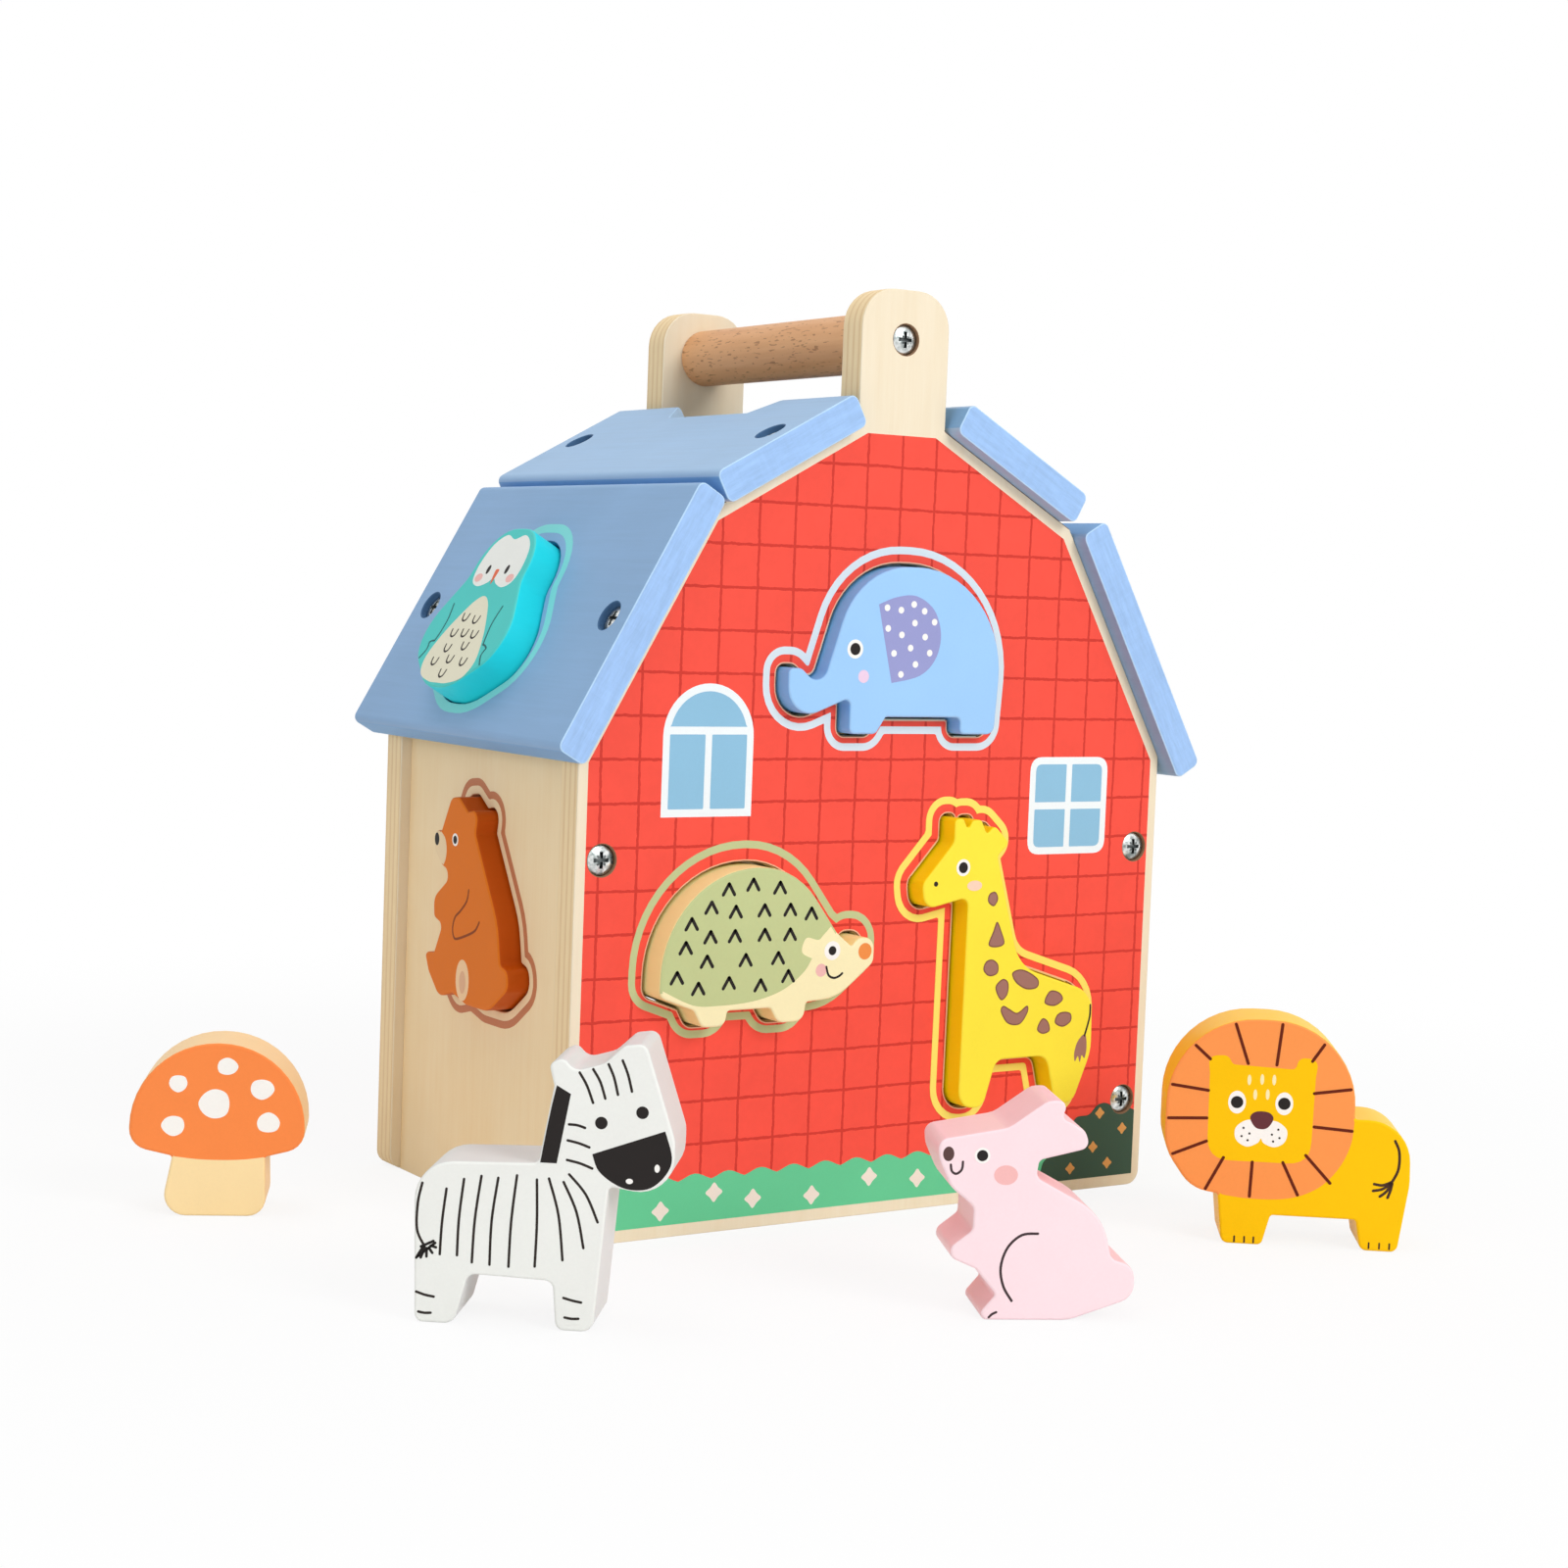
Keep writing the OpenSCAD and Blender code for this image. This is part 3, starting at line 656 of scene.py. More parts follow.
# %% Hedgehog
hedgehog = block("hedgehog", "#FFF3AC", "#FBF1C0")
hedgehog.move_drawing(-1, 0.2)
over_back = stretch_of(hedgehog.flat_edge, (-20, 80.2), (-71.5, 65))
back_edge = curve([
    over_back[-1], (-62, 60.8), (-54, 60.3), (-45, 60.8), (-38, 62.3), (-33, 64.5), (-28.5, 68),
    (-26.3, 71.2)])
ear_edge = curve([back_edge[-1], (-29.5, 73), (-28.3, 76.6), (-24.6, 76), (-23, 77.2), over_back[0]])
hedgehog.ink_to_edge(ink("hedgehog_back", "#C5CF95"), over_back, back_edge[1:] + ear_edge[1:-1])
SPINE_HALF, SPINE_RISE, SPINE_WIDTH = 1.7, 1.4, 0.92
spines = [
    (-52.5, 90), (-45.2, 91), (-37, 90), (-57.5, 85.5), (-50.2, 84.2), (-41.5, 84.3), (-33.6, 84.2),
    (-27, 83),
    (-63.2, 81.5), (-57.5, 78), (-50.2, 78), (-41.2, 78), (-33.4, 77.8), (-64.7, 75.5), (-58.3, 71.8),
    (-46.7, 71.7), (-36.8, 71.8), (-67, 68), (-60.6, 65), (-51.5, 66), (-41.9, 65), (-33.5, 67)]
for u, v in spines:
    for side in (-SPINE_HALF, SPINE_HALF):
        stroke = [(u + side, v - SPINE_RISE), (u, v + SPINE_RISE)]
        hedgehog.ink(black_ink, [line(stroke, SPINE_WIDTH, ends=3)], layer=2)
eye(hedgehog, -20, 73, 5, 2.4)
hedgehog.ink(blush_ink, [oval(-23.3, 68, 3.4)])
smile = [(-21.7, 68.8), (-20.9, 66.6), (-19.2, 65.8), (-17.6, 66.2), (-16.6, 66.9)]
hedgehog.ink(black_ink, [line(smile, 0.6)])
hedgehog.ink(ink("hedgehog_nose", "#F2934A"), [oval(-9.6, 72.4, 4.2, 4.4)])

# %% [markdown]
# ## The giraffe
#
# Yellow with brown patches. No two patches are alike, so each is a closed curve through its own few
# marks. A second curve a little inside the first leaves a darker rim.

# %% Giraffe
giraffe = block("giraffe", "#FFE406", "#FEEC43")
patch_ink = ink("giraffe_patch", "#A3766B")
patches = [
    [(30.6, 84.2), (32.6, 82.9), (34, 84.8), (33, 86.8), (31, 86.3)],
    [(31.4, 72.4), (34.2, 71.6), (36.8, 72.6), (35.6, 76), (34, 78.6), (32.8, 76)],
    [(30, 65.6), (32, 63.8), (34.8, 64.4), (35, 66.8), (33, 68.3), (30.8, 67.8)],
    [(34.4, 60.6), (36.4, 57), (38.6, 58.4), (38.8, 61.6), (36.8, 62.8)],
    [(40, 64.2), (41.4, 61.6), (45, 59.6), (48.8, 59.8), (49.2, 62), (46, 64.2), (42.6, 65.2)],
    [(36.6, 53.8), (39.2, 50.4), (43.4, 50), (46, 53.2), (45.6, 55), (42.4, 53.2), (39.6, 54.4),
     (37.4, 55.4)],
    [(52, 55.2), (55.4, 54.4), (58.2, 56), (57, 58), (54, 58.8), (52.2, 57.2)],
    [(49.6, 48), (51.6, 46.8), (54, 47.6), (53.4, 50), (51.6, 51.2), (50.2, 50)],
    [(55.8, 49.6), (58.6, 48.4), (61.4, 49.8), (61.2, 52), (58.6, 52.6), (56.4, 51.8)]]
PATCH_RIM = 0.35
patch_outlines = [curve(marks, closed=True) for marks in patches]
giraffe.ink(ink("giraffe_patch_rim", "#7F5448"), patch_outlines)
giraffe.ink(patch_ink, [gap_line(outline, -PATCH_RIM) for outline in patch_outlines], layer=2)
eye(giraffe, 21.7, 93.7, 4.6, 3)
giraffe.ink(line_ink, [oval(12.8, 89.5, 1.4, steps=14)])
giraffe.ink(ink("giraffe_blush", "#FAD8C0"), [oval(25.8, 88.7, 5, 2.8)])
giraffe.ink(line_ink, [line([(68.2, 54), (68.1, 50.5), (66.6, 45.5)], 0.6)])
tail_tuft = [
    (66.8, 45.8), (64.4, 44.2), (63.2, 41), (63.5, 38.4), (64.5, 39.8), (65.3, 38.1), (65.9, 40),
    (66.9, 39.1), (67.5, 42)]
giraffe.ink(patch_ink, [curve(tail_tuft, closed=True)])

# %% [markdown]
# ## The owl
#
# The owl sits in the roof, so its face leans back with the slope. The drawing is the same as on an
# upright face: u runs to the right and v up the slope, counted from the break of the roof.

# %% Owl
owl = block("owl", "#20DDE8", "#55CFC9")
owl.start_drawing_at(middle=-5.5, bottom=-64.5)
mask = [
    (-5.8, -19.1), (-11, -17.8), (-16, -21), (-18, -27), (-17, -32), (-13, -33.8), (-8.5, -32.8),
    (-5.8, -31.2), (-3, -32.8), (1.5, -33.8), (5.5, -31.8), (6.5, -27), (4.5, -21), (-0.6, -17.8)]
owl.ink(ink("owl_mask", "#F1F3EE"), [curve(mask, closed=True)])
owl.ink(black_ink, [oval(-11.3, -28.6, 1.8, 2.8), oval(-0.9, -28.4, 1.8, 2.8)], layer=2)
beak = [(-7, -29), (-6, -28.4), (-5, -29), (-5.9, -33)]
owl.ink(ink("owl_beak", "#E4704F"), [curve(beak, closed=True)], layer=2)
owl.ink(blush_ink, [oval(-14.4, -31.2, 4, 2.6), oval(3.2, -31, 4, 2.6)], layer=2)
belly = [
    (-5.5, -36.7), (-8.6, -37.9), (-12, -41.3), (-17, -48.5), (-19.8, -56), (-17.5, -61), (-11, -63),
    (-5.5, -63.2), (0, -63), (6.5, -61), (9, -56), (6, -48.5), (1, -41.3), (-2.4, -37.9)]
owl.ink(ink("owl_belly", "#EAE6CE"), [curve(belly, closed=True)])
feathers = [
    (-9.5, -43.3), (-3, -43.8), (-11.3, -48.2), (-5.3, -48), (0.5, -48.2), (-10.3, -52.8), (-1.2, -51.8),
    (-13.5, -57), (-5.5, -56), (2.5, -56.4), (-5.5, -60.3)]
feather = [(-1.6, 1), (-1.2, -0.6), (0, -1.2), (1.2, -0.6), (1.6, 1)]
owl.ink(line_ink, [line([(u + du, v + dv) for du, dv in feather], 0.55) for u, v in feathers], layer=2)
wings = [
    [(-20.3, -39.5), (-19, -44), (-19.1, -48), (-19.8, -51)], [(-19.8, -51), (-21.2, -51.1), (-22.3, -51.6)],
    [(-22.3, -51.6), (-21.7, -53.8), (-23.3, -56.5)], [(7.8, -39.5), (7.1, -45), (8.5, -51)],
    [(8.5, -51), (10, -51.3), (11.3, -52)], [(11.3, -52), (10.6, -54.2), (12.4, -56.8)]]
owl.ink(ink("owl_line", "#2A6264"), [line(marks, 0.5) for marks in wings], layer=2)

# %% [markdown]
# ## The bear
#
# The bear sits in the left wall and looks away from the front of the barn. Its tan muzzle is the
# stretch of the outline at the nose, closed by a curve.

# %% Bear
bear = block("bear", "#CA5502", "#E3771C")
muzzle = curve([(-12, 89.4), (-10.6, 91.4), (-10.2, 94), (-11.2, 96.8), (-14, 98.6)])
round_nose = stretch_of(bear.flat_edge, (-15.5, 98.6), (-13, 89.2))
bear.ink_to_edge(ink("bear_muzzle", "#EFD6AE"), round_nose, muzzle[1:-1])
bear.ink(black_ink, [oval(-16, 96.2, 2.6, 3.4)], layer=2)
eye(bear, -5.2, 97, 3.4, 2.2)
arm = [
    (3.5, 84.5), (2.5, 81.5), (-1, 78.5), (-4, 76.5), (-5.3, 73.5), (-4.5, 71.2), (-2.5, 70.9), (4, 72.8),
    (7.5, 74.2), (9, 75.5), (10, 76.8)]
bear.ink(ink("bear_line", "#8A4216"), [line(arm, 0.65)])
bear.ink(ink("bear_sole", "#F6D0A4"), [oval(1.2, 60.3, 7.6, 11)])
bear.ink(ink("bear_sole_middle", "#E6B692"), [oval(1.3, 59.8, 3.6, 6)], layer=2)

# %% [markdown]
# ## The zebra
#
# White all over, with black stripes that are hand-drawn lines rather than bands, a solid mane and a
# black muzzle.

# %% Zebra
zebra = block("zebra", "#E2E2E0", "#F2F3EE")
zebra.start_drawing_at(middle=8, bottom=0)
mane = [(10.3, 55.2), (9.3, 50.6), (8.5, 46.2), (7.8, 42), (7.1, 37.7), (10.8, 37.7), (13.5, 53.4)]
zebra.ink(black_ink, [[point(*m) for m in mane]])
stripes = [
    [(15.3, 58.3), (17, 55.5), (18.5, 51.7)], [(18.3, 59.2), (20, 56.4), (21.2, 52.8)],
    [(21.7, 60.5), (23, 57.6), (24, 53.8)], [(24.8, 61.5), (26.1, 58.4), (27.1, 54.7)],
    [(13.3, 46.6), (15.2, 46.5), (16.9, 46)], [(13.1, 43), (15.6, 42.5), (18, 41.7)],
    [(13.1, 38.6), (16, 38), (18.8, 37)],
    [(-13.8, 30.6), (-14.6, 23), (-14.9, 15.7)], [(-9.9, 33), (-10.8, 24), (-11, 15.7)],
    [(-6, 33.9), (-7.2, 24), (-7.6, 14.3)], [(-2.2, 33.7), (-3.4, 24), (-3.6, 14)],
    [(2, 34.5), (1, 24), (0.7, 13.8)], [(6.5, 33.8), (6.8, 24), (6.6, 14.2)],
    [(9.2, 34.2), (11.6, 26), (12.8, 16)], [(12.5, 33.6), (15.6, 27), (17.4, 19)],
    [(13.7, 35.4), (17.6, 31), (20.4, 25)],
    [(-20, 6.9), (-18, 6.3), (-16, 6)], [(-19.4, 2.4), (-18, 2.2), (-16.6, 2.3)],
    [(13.3, 7.5), (15.4, 7), (17.3, 6.7)], [(13.7, 3.1), (15.2, 2.9), (16.8, 3)],
    [(-19.3, 31.6), (-20.2, 27), (-20.2, 21), (-18.4, 17.3)]]
zebra.ink(line_ink, [line(marks, 0.58) for marks in stripes])
tuft = [
    [(-19.9, 14.9), (-16, 18.2)], [(-19.2, 17.2), (-16.4, 18.6)], [(-18.7, 17.2), (-20.2, 14.6)],
    [(-18.3, 17), (-19.2, 14.7)], [(-17.9, 16.9), (-17.9, 15)], [(-17.4, 17), (-16.6, 15.9)],
    [(-17, 17.5), (-15.8, 17.2)]]
zebra.ink(black_ink, [line(marks, 0.6, ends=4) for marks in tuft], layer=2)
zebra.ink(black_ink, [oval(20.5, 47.3, 2.8), oval(29.6, 50.1, 2.8)])
snout = [
    (18.7, 40.2), (20.2, 36.6), (23.7, 33.9), (27.5, 32.7), (31.9, 33.3), (35.3, 36.5), (36.5, 40.4),
    (34.8, 46.2)]
zebra.ink(black_ink, [curve(snout)])
zebra.ink(white_ink, [oval(27.2, 34.6, 1.6, 1.2), oval(33.3, 37.8, 1.2, 1.8)], layer=2)

# %% [markdown]
# ## The rabbit
#
# Pale pink, with only a few lines: the thigh, a toe and a smile.

# %% Rabbit
rabbit = block("rabbit", "#FBD0D4", "#FEE3E8")
rabbit.start_drawing_at(middle=2.5, bottom=0)
rabbit.ink(ink("rabbit_nose", "#5C4442"), [oval(-18.9, 38.8, 2.6, 3.4)])
eye(rabbit, -11, 38.5, 3.7, 2.6)
rabbit.ink(ink("rabbit_line", "#46393C"), [
    line([(-18.3, 36.3), (-18, 34.8), (-16.9, 34.2), (-15.7, 35.2), (-15.5, 37)], 0.55),
    line([(2.8, 20.4), (-1, 20), (-4.2, 17), (-5.6, 12.4), (-4.8, 8), (-2.7, 4.6)], 0.6),
    line([(-7.9, 0.7), (-7.2, 1.4), (-6.2, 1.9)], 0.55)])
rabbit.ink(ink("rabbit_blush", "#F7BDBB"), [oval(-5.3, 34, 5.6, 4.6)])

# %% [markdown]
# ## The lion
#
# An orange mane round a yellow face. The mane's ink is the stretch of the outline round the head,
# closed where it lies on the body.

# %% Lion
lion = block("lion", "#FFCC22", "#FEC900")
lion.start_drawing_at(middle=-7, bottom=0)
mane_on_body = curve([(-24, 13), (-16, 12.2), (-6, 12.8), (1.5, 16), (6.5, 21.5), (9.3, 28), (9.9, 34.6)])
round_head = stretch_of(lion.flat_edge, (10, 35.2), (-24.5, 13))
lion.ink_to_edge(ink("lion_mane", "#FE9B52"), round_head, mane_on_body[1:-1])
lion.ink(ink("lion_head", "#FEC800"), [cornered([
    (-27.7, 22, 6), (-1, 22, 6), (-0.6, 45, 2), (0, 49.6, 2.4), (-5.6, 50.2, 2.4), (-5.6, 46.8, 1.5),
    (-22.4, 47.4, 1.5), (-23, 49.8, 2.4), (-28.6, 49.4, 2.4), (-28, 45, 2)])], layer=2)
mane_lines = [
    [(-31.9, 51.9), (-28, 48.5)], [(-21.8, 58), (-18.2, 47.8)], [(-9.8, 58.5), (-10.8, 47.8)],
    [(1.2, 53.7), (-1.7, 49.2)], [(8.6, 42.3), (-0.8, 40.8)], [(9.4, 31.4), (-0.4, 32)],
    [(4.4, 17.4), (-2.2, 24.4)], [(-3.8, 13.8), (-8, 22.2)], [(-16.2, 12.8), (-15.9, 21.9)],
    [(-27.7, 14.2), (-23.4, 22.7)],
    [(-36.6, 23), (-28, 26.8)], [(-38.1, 32.4), (-28.2, 32.9)], [(-37.5, 41.3), (-28.1, 40.2)]]
lion.ink(ink("lion_line", "#662412"), [line(marks, 0.8) for marks in mane_lines], layer=3)
brow = [(-17.7, 43.5), (-14.4, 43.8), (-11.3, 43.8), (-16, 39.7), (-12.8, 39.9)]
lion.ink(ink("lion_brow", "#FDF0B8"), [oval(u, v, 1, 2.8, steps=16) for u, v in brow], layer=3)
for u, v in [(-20.6, 37.5), (-8.4, 37.7)]:
    lion.ink(white_ink, [oval(u, v, 4.6, 6)], layer=3)
    lion.ink(black_ink, [oval(u, v, 3.2)], layer=4)
cheeks = [
    (-14, 32.4), (-17.6, 33), (-20.6, 30.8), (-20.4, 27.6), (-17.6, 25.9), (-14.8, 27), (-14, 28.2),
    (-13.2, 27), (-10.4, 26.1), (-7.8, 27.6), (-7.4, 30.8), (-10.4, 33)]
lion.ink(white_ink, [curve(cheeks, closed=True)], layer=3)
nose = [(-17, 33.6), (-15.6, 35.2), (-12.4, 35.2), (-11, 33.6), (-12.6, 31), (-15.4, 31)]
lion.ink(ink("lion_nose", "#66353A"), [curve(nose, closed=True)], layer=4)
freckles = [
    (-18.6, 30.8), (-17, 29.4), (-19, 28.6), (-17.4, 27.6), (-9.6, 30.8), (-11.2, 29.4), (-9.2, 28.6),
    (-10.8, 27.6)]
lion.ink(line_ink, [oval(u, v, 0.6, steps=10) for u, v in freckles], layer=4)
tail_ink = ink("lion_tail", "#4A3326")
lion.ink(tail_ink, [line([(20.6, 29.4), (21.8, 26.5), (21.8, 22), (20.3, 18.5)], 0.7)])
tail_hairs = [
    [(20.3, 18.6), (18, 17.6), (15.8, 17.8)], [(20, 18.2), (18, 16.6), (15.6, 16)],
    [(20.2, 18), (19, 16), (17.4, 14.6)], [(20.4, 18.2), (20, 16.2), (19.4, 14.4)]]
lion.ink(tail_ink, [line(marks, 0.7) for marks in tail_hairs], layer=2)
toes = [(-19.6, 1.3), (-17, 1.3), (-14.6, 1.3), (15.2, 1.5), (17.9, 1.5), (20.5, 1.5)]
lion.ink(tail_ink, [line([(u, v - 0.7), (u, v + 0.7)], 0.45, ends=4) for u, v in toes])

# %% [markdown]
# ## The mushroom
#
# An orange cap with white spots over a cream stem. The spots are dabbed on by hand, so each is an oval
# whose eight marks are pushed in and out a little.

# %% Mushroom
mushroom = block("mushroom", "#FBD398", "#FFE4AD")
mushroom.start_drawing_at(middle=-0.75, bottom=0)
cap_edge = curve([(-12, 15.6), (-6, 14.9), (0, 14.7), (6, 14.9), (11.5, 15.6)])
round_cap = stretch_of(mushroom.flat_edge, (11.7, 15.7), (-12.2, 15.7))
mushroom.ink_to_edge(ink("mushroom_cap", "#FE8F4B"), round_cap, cap_edge[1:-1])
spots = [
    (-10.8, 34.4, 4.6, 4.4), (1.5, 39, 5.2, 4.4), (-1.6, 29.3, 7.8, 7.6), (10.4, 33.3, 6, 5.2),
    (12.2, 24.6, 5.8, 5.2), (-11.8, 23.5, 5.8, 5.2)]
SWELL = (1.0, 1.07, 0.98, 1.05, 1.0, 0.95, 1.03, 0.97)
for k, (u, v, w, h) in enumerate(spots):
    grown = [SWELL[(k + i) % len(SWELL)] for i in range(len(SWELL))]
    rim = [point(u, v).lerp(p, by) for p, by in zip(oval(u, v, w, h, steps=len(SWELL)), grown)]
    mushroom.ink(white_ink, [curve(rim, closed=True)], layer=2)

# %% [markdown]
# ## The gables
#
# The front gable is bare birch with a red print that stops short of its edges. The print's border is
# five straight lines, so it needs no geometry: in the shader, a point is printed where it is inside
# all five. The wobbly grid of tiles is drawn there as well, as the distance to the nearest of a set
# of lines that a slow noise pushes about. Windows, grass, bush and the rings round the holes have
# crisp curved edges, so they are slabs of ink.

# %% The red print
PRINT_FOOT, PRINT_SIDE, PRINT_TOP = 3.2, 91.2, 208.0
PRINT_EAVE, PRINT_BREAK, PRINT_EAR = (PRINT_SIDE, 122.0), (56.0, 183.2), (11.0, PRINT_TOP)
TILE, TILE_U, TILE_V = 11.0, 0.5, 1.6


def barn_print(name):
    """Red tiles inside the print's border, and bare veneer round it."""
    finish = Finish(name, roughness=0.5, shine=0.12)
    x, _, z = finish.axes()
    side = abs(x)

    def inside(low, high):
        """How far a point lies inside the sloping line through two marks."""
        across = Vector((high[1] - low[1], low[0] - high[0])).normalized()
        return across.x * low[0] + across.y * low[1] - (side * across.x + z * across.y)

    depth = (z - PRINT_FOOT).least(PRINT_SIDE - side).least(PRINT_TOP - z)
    depth = depth.least(inside(PRINT_EAVE, PRINT_BREAK)).least(inside(PRINT_BREAK, PRINT_EAR))
    sway = finish.noise((0.02, 0.02, 0.02), detail=2.0) - 0.5
    shiver = finish.noise((0.5, 0.5, 0.5), detail=2.0) * 0.5 - 0.25
    upright = (x - TILE_U + sway + shiver).clear_of_lines(TILE)
    level = (z - TILE_V - sway + shiver).clear_of_lines(TILE)
    dry = finish.noise((0.7, 0.7, 0.7), detail=3.0)
    drawn = (upright.least(level) < dry * 0.45 + 0.14) * 0.8
    clouds = finish.noise((0.09, 0.09, 0.09), detail=4.0, roughness=0.6)
    red = finish.shade(hue("#F95647"), 1 + (clouds - 0.5) * 0.16 + (dry - 0.5) * 0.06)
    tiles = finish.mix(drawn, red, hue("#C8352C"))
    streaks = finish.noise((0.5, 0.5, 0.03), detail=5.0, roughness=0.65)
    bare = finish.mix(streaks * 0.8, birch_pale, birch_deep)
    finish.feed("Base Color", finish.mix(depth > 0, bare, tiles))
    finish.feed("Roughness", 0.44 + dry * 0.14)
    finish.relief(streaks, 0.02)
    return finish.material


red_print = barn_print("barn_print")
print("print:", red_print.name)

# %% [markdown]
# ## Windows, grass and bush
#
# A window is a white frame with its panes on top, and the panes stop short of each other, which
# leaves the bars. Cutting the panes out of the frame would give the same picture with more work. The
# arch is a half circle on a rectangle. Grass is a row of shallow bumps, worked out from a sine.

# %% Windows, grass and bush
FRAME_BAR, PANE_CORNER = 2.0, 0.3
OUTER_CORNER = ((0, 1), (3, 2))


def arched_window(piece, left, right, foot, spring, bar_z):
    """A window with a round top, which springs at this height."""
    middle, radius = (left + right) / 2, (right - left) / 2

    def arch(inset, foot_z, steps=24):
        r = radius - inset
        top = [point(middle + r * math.cos(a), spring + r * math.sin(a))
               for a in (math.pi * k / steps for k in range(steps + 1))]
        return [point(middle - r, foot_z), point(middle + r, foot_z)] + top

    half = FRAME_BAR / 2
    piece.ink(frame_ink, [arch(0, foot)])
    fanlight = [p for p in arch(FRAME_BAR, bar_z + half) if p.y >= bar_z + half]
    piece.ink(pane_ink, [fanlight], layer=2)
    for low_u, high_u in ((left + FRAME_BAR, middle - half), (middle + half, right - FRAME_BAR)):
        low_v, high_v = foot + FRAME_BAR, bar_z - half
        marks = [(low_u, low_v), (high_u, low_v), (high_u, high_v), (low_u, high_v)]
        piece.ink(pane_ink, [cornered([(*m, PANE_CORNER) for m in marks], steps=2)], layer=2)


def square_window(piece, left, right, foot, head, corner=4.0):
    """A window of four panes, each of them rounded at the window's own corner."""
    marks = [(left, foot), (right, foot), (right, head), (left, head)]
    piece.ink(frame_ink, [cornered([(*m, corner) for m in marks])])
    middle_u, middle_v, half = (left + right) / 2, (foot + head) / 2, FRAME_BAR / 2
    spans_u = ((left + FRAME_BAR, middle_u - half), (middle_u + half, right - FRAME_BAR))
    spans_v = ((foot + FRAME_BAR, middle_v - half), (middle_v + half, head - FRAME_BAR))
    for row, (low_v, high_v) in enumerate(spans_v):
        for column, (low_u, high_u) in enumerate(spans_u):
            radii = [PANE_CORNER] * 4
            radii[OUTER_CORNER[row][column]] = corner - FRAME_BAR
            marks = [(low_u, low_v), (high_u, low_v), (high_u, high_v), (low_u, high_v)]
            piece.ink(pane_ink, [cornered([(*m, r) for m, r in zip(marks, radii)], steps=4)], layer=2)


def scallops(start, end, height, pitch, rise, steps=8):
    """A row of shallow bumps from one u to another, as marks from right to left."""
    count = max(1, round(abs(end - start) / pitch))
    marks = []
    for k in range(count * steps + 1):
        t = k / (count * steps)
        swell = abs(math.sin(math.pi * t * count))
        marks.append(point(start + (end - start) * t, height + rise * (swell + swell ** 2) / 2))
    return marks


def diamond(u, v, size):
    """A little flower with four blunt points."""
    tip, waist = size / 2, size / 4.2
    marks = [(tip, 0), (waist, waist), (0, tip), (-waist, waist), (-tip, 0), (-waist, -waist), (0, -tip),
             (waist, -waist)]
    return curve([(u + du, v + dv) for du, dv in marks], closed=True, steps=3)


grass_ink = ink("ink_grass", "#68CF9A")
bush_ink = ink("ink_bush", "#3F5848")
flower_ink = ink("ink_flower", "#F2E8DB")
spark_ink = ink("ink_spark", "#E0A35C")
bore_shade = ink("bore_shade", "#8A6A50")


def grass(piece, foot):
    """Grass above a foot line, which is given by its marks from left to right."""
    top = scallops(foot[-1][0], foot[0][0], height=14.2, pitch=10.2, rise=1.7)
    piece.ink(grass_ink, [[point(*m) for m in foot] + top])


print("garden inks:", ", ".join(shared.name for shared in (grass_ink, bush_ink, flower_ink, spark_ink)))

# %% [markdown]
# ## Rings round the holes
#
# Every hole has a printed ring that follows its block's outline at a distance. An outline that is
# simply scaled would come too near at the waist and too far at the ends. The gap line keeps the same
# distance everywhere, and the ring is the area between two gap lines. The sander takes the print off
# the rims of the holes in front, which shows as a thin bare line, so that line is a narrow ring too.

# %% The front gable, printed
RING_NEAR, RING_FAR = 3.0, 5.0
BARE_NEAR, BARE_FAR = 1.0, 1.3
BOARD_EDGE = 0.3
EAR_FOOT = 220.0


def under_roof(face):
    """Finds the softened rim of a gable where a roof board lies on it, which is always in shade."""
    way = face.normal
    sloping = abs(way.x) > 0.1 and 0.1 < abs(way.y) < 0.99 and way.z > 0.2
    return sloping and face.calc_center_median().z < EAR_FOOT * MM


def printed_gable(gable):
    """Gives a gable its print, shaded screw holes, shaded rims under the roof and bare sanded rims."""
    gable.print_front(red_print, facing=0.99)
    gable.finish_faces(bore_shade, in_bore)
    gable.finish_faces(bore_shade, under_roof)
    gable.finish_faces(gable_veneer, lambda f: abs(f.normal.y) > 0.15)
    return gable


def ring(piece, finish, outline, layer=1, near=RING_NEAR, far=RING_FAR):
    """Prints the band between two gap lines of an outline."""
    piece.ink(finish, [gap_line(outline, far)], layer, holes=[gap_line(outline, near)])


bare_ink = ink("bare_rim", "#F5BE9E")
front = printed_gable(Piece("front_gable", BOARD_EDGE, gable_edge))
ring(front, ink("ring_elephant", "#DCE9F0"), moved(elephant.outline, point(0.2, 0.3) - elephant.shift))
ring(front, ink("ring_hedgehog", "#C3CD98"), moved(hedgehog.outline, point(0, 1.2) - hedgehog.shift))
for animal in (elephant, hedgehog, giraffe):
    ring(front, bare_ink, moved(animal.outline, -animal.shift), near=BARE_NEAR, far=BARE_FAR)
arched_window(front, left=-70, right=-43, foot=108, spring=128.5, bar_z=130)
square_window(front, left=48, right=75.5, foot=96, head=123)
grass(front, [(-PRINT_SIDE, PRINT_FOOT), (60, PRINT_FOOT)])
flowers = [
    (-82, 8.5), (-66, 7), (-50, 10.5), (-38, 7.8), (-19.5, 7), (-1, 10.3), (15, 8.5), (31, 7.2), (46, 9.6)]
front.ink(flower_ink, [diamond(u, v, size=5.2) for u, v in flowers], layer=2)
under_screw = oval(86.5, 25, 8.6, steps=36)[34:19:-1]
bush_top = curve([under_screw[-1], (80.2, 24.4), (77.4, 23.8), (74.5, 21.4), (70, 20.9), (67.5, 17.4),
                  (63.4, 15.4), (61.8, 11.4), (58.6, 8.8), (57.4, PRINT_FOOT)])
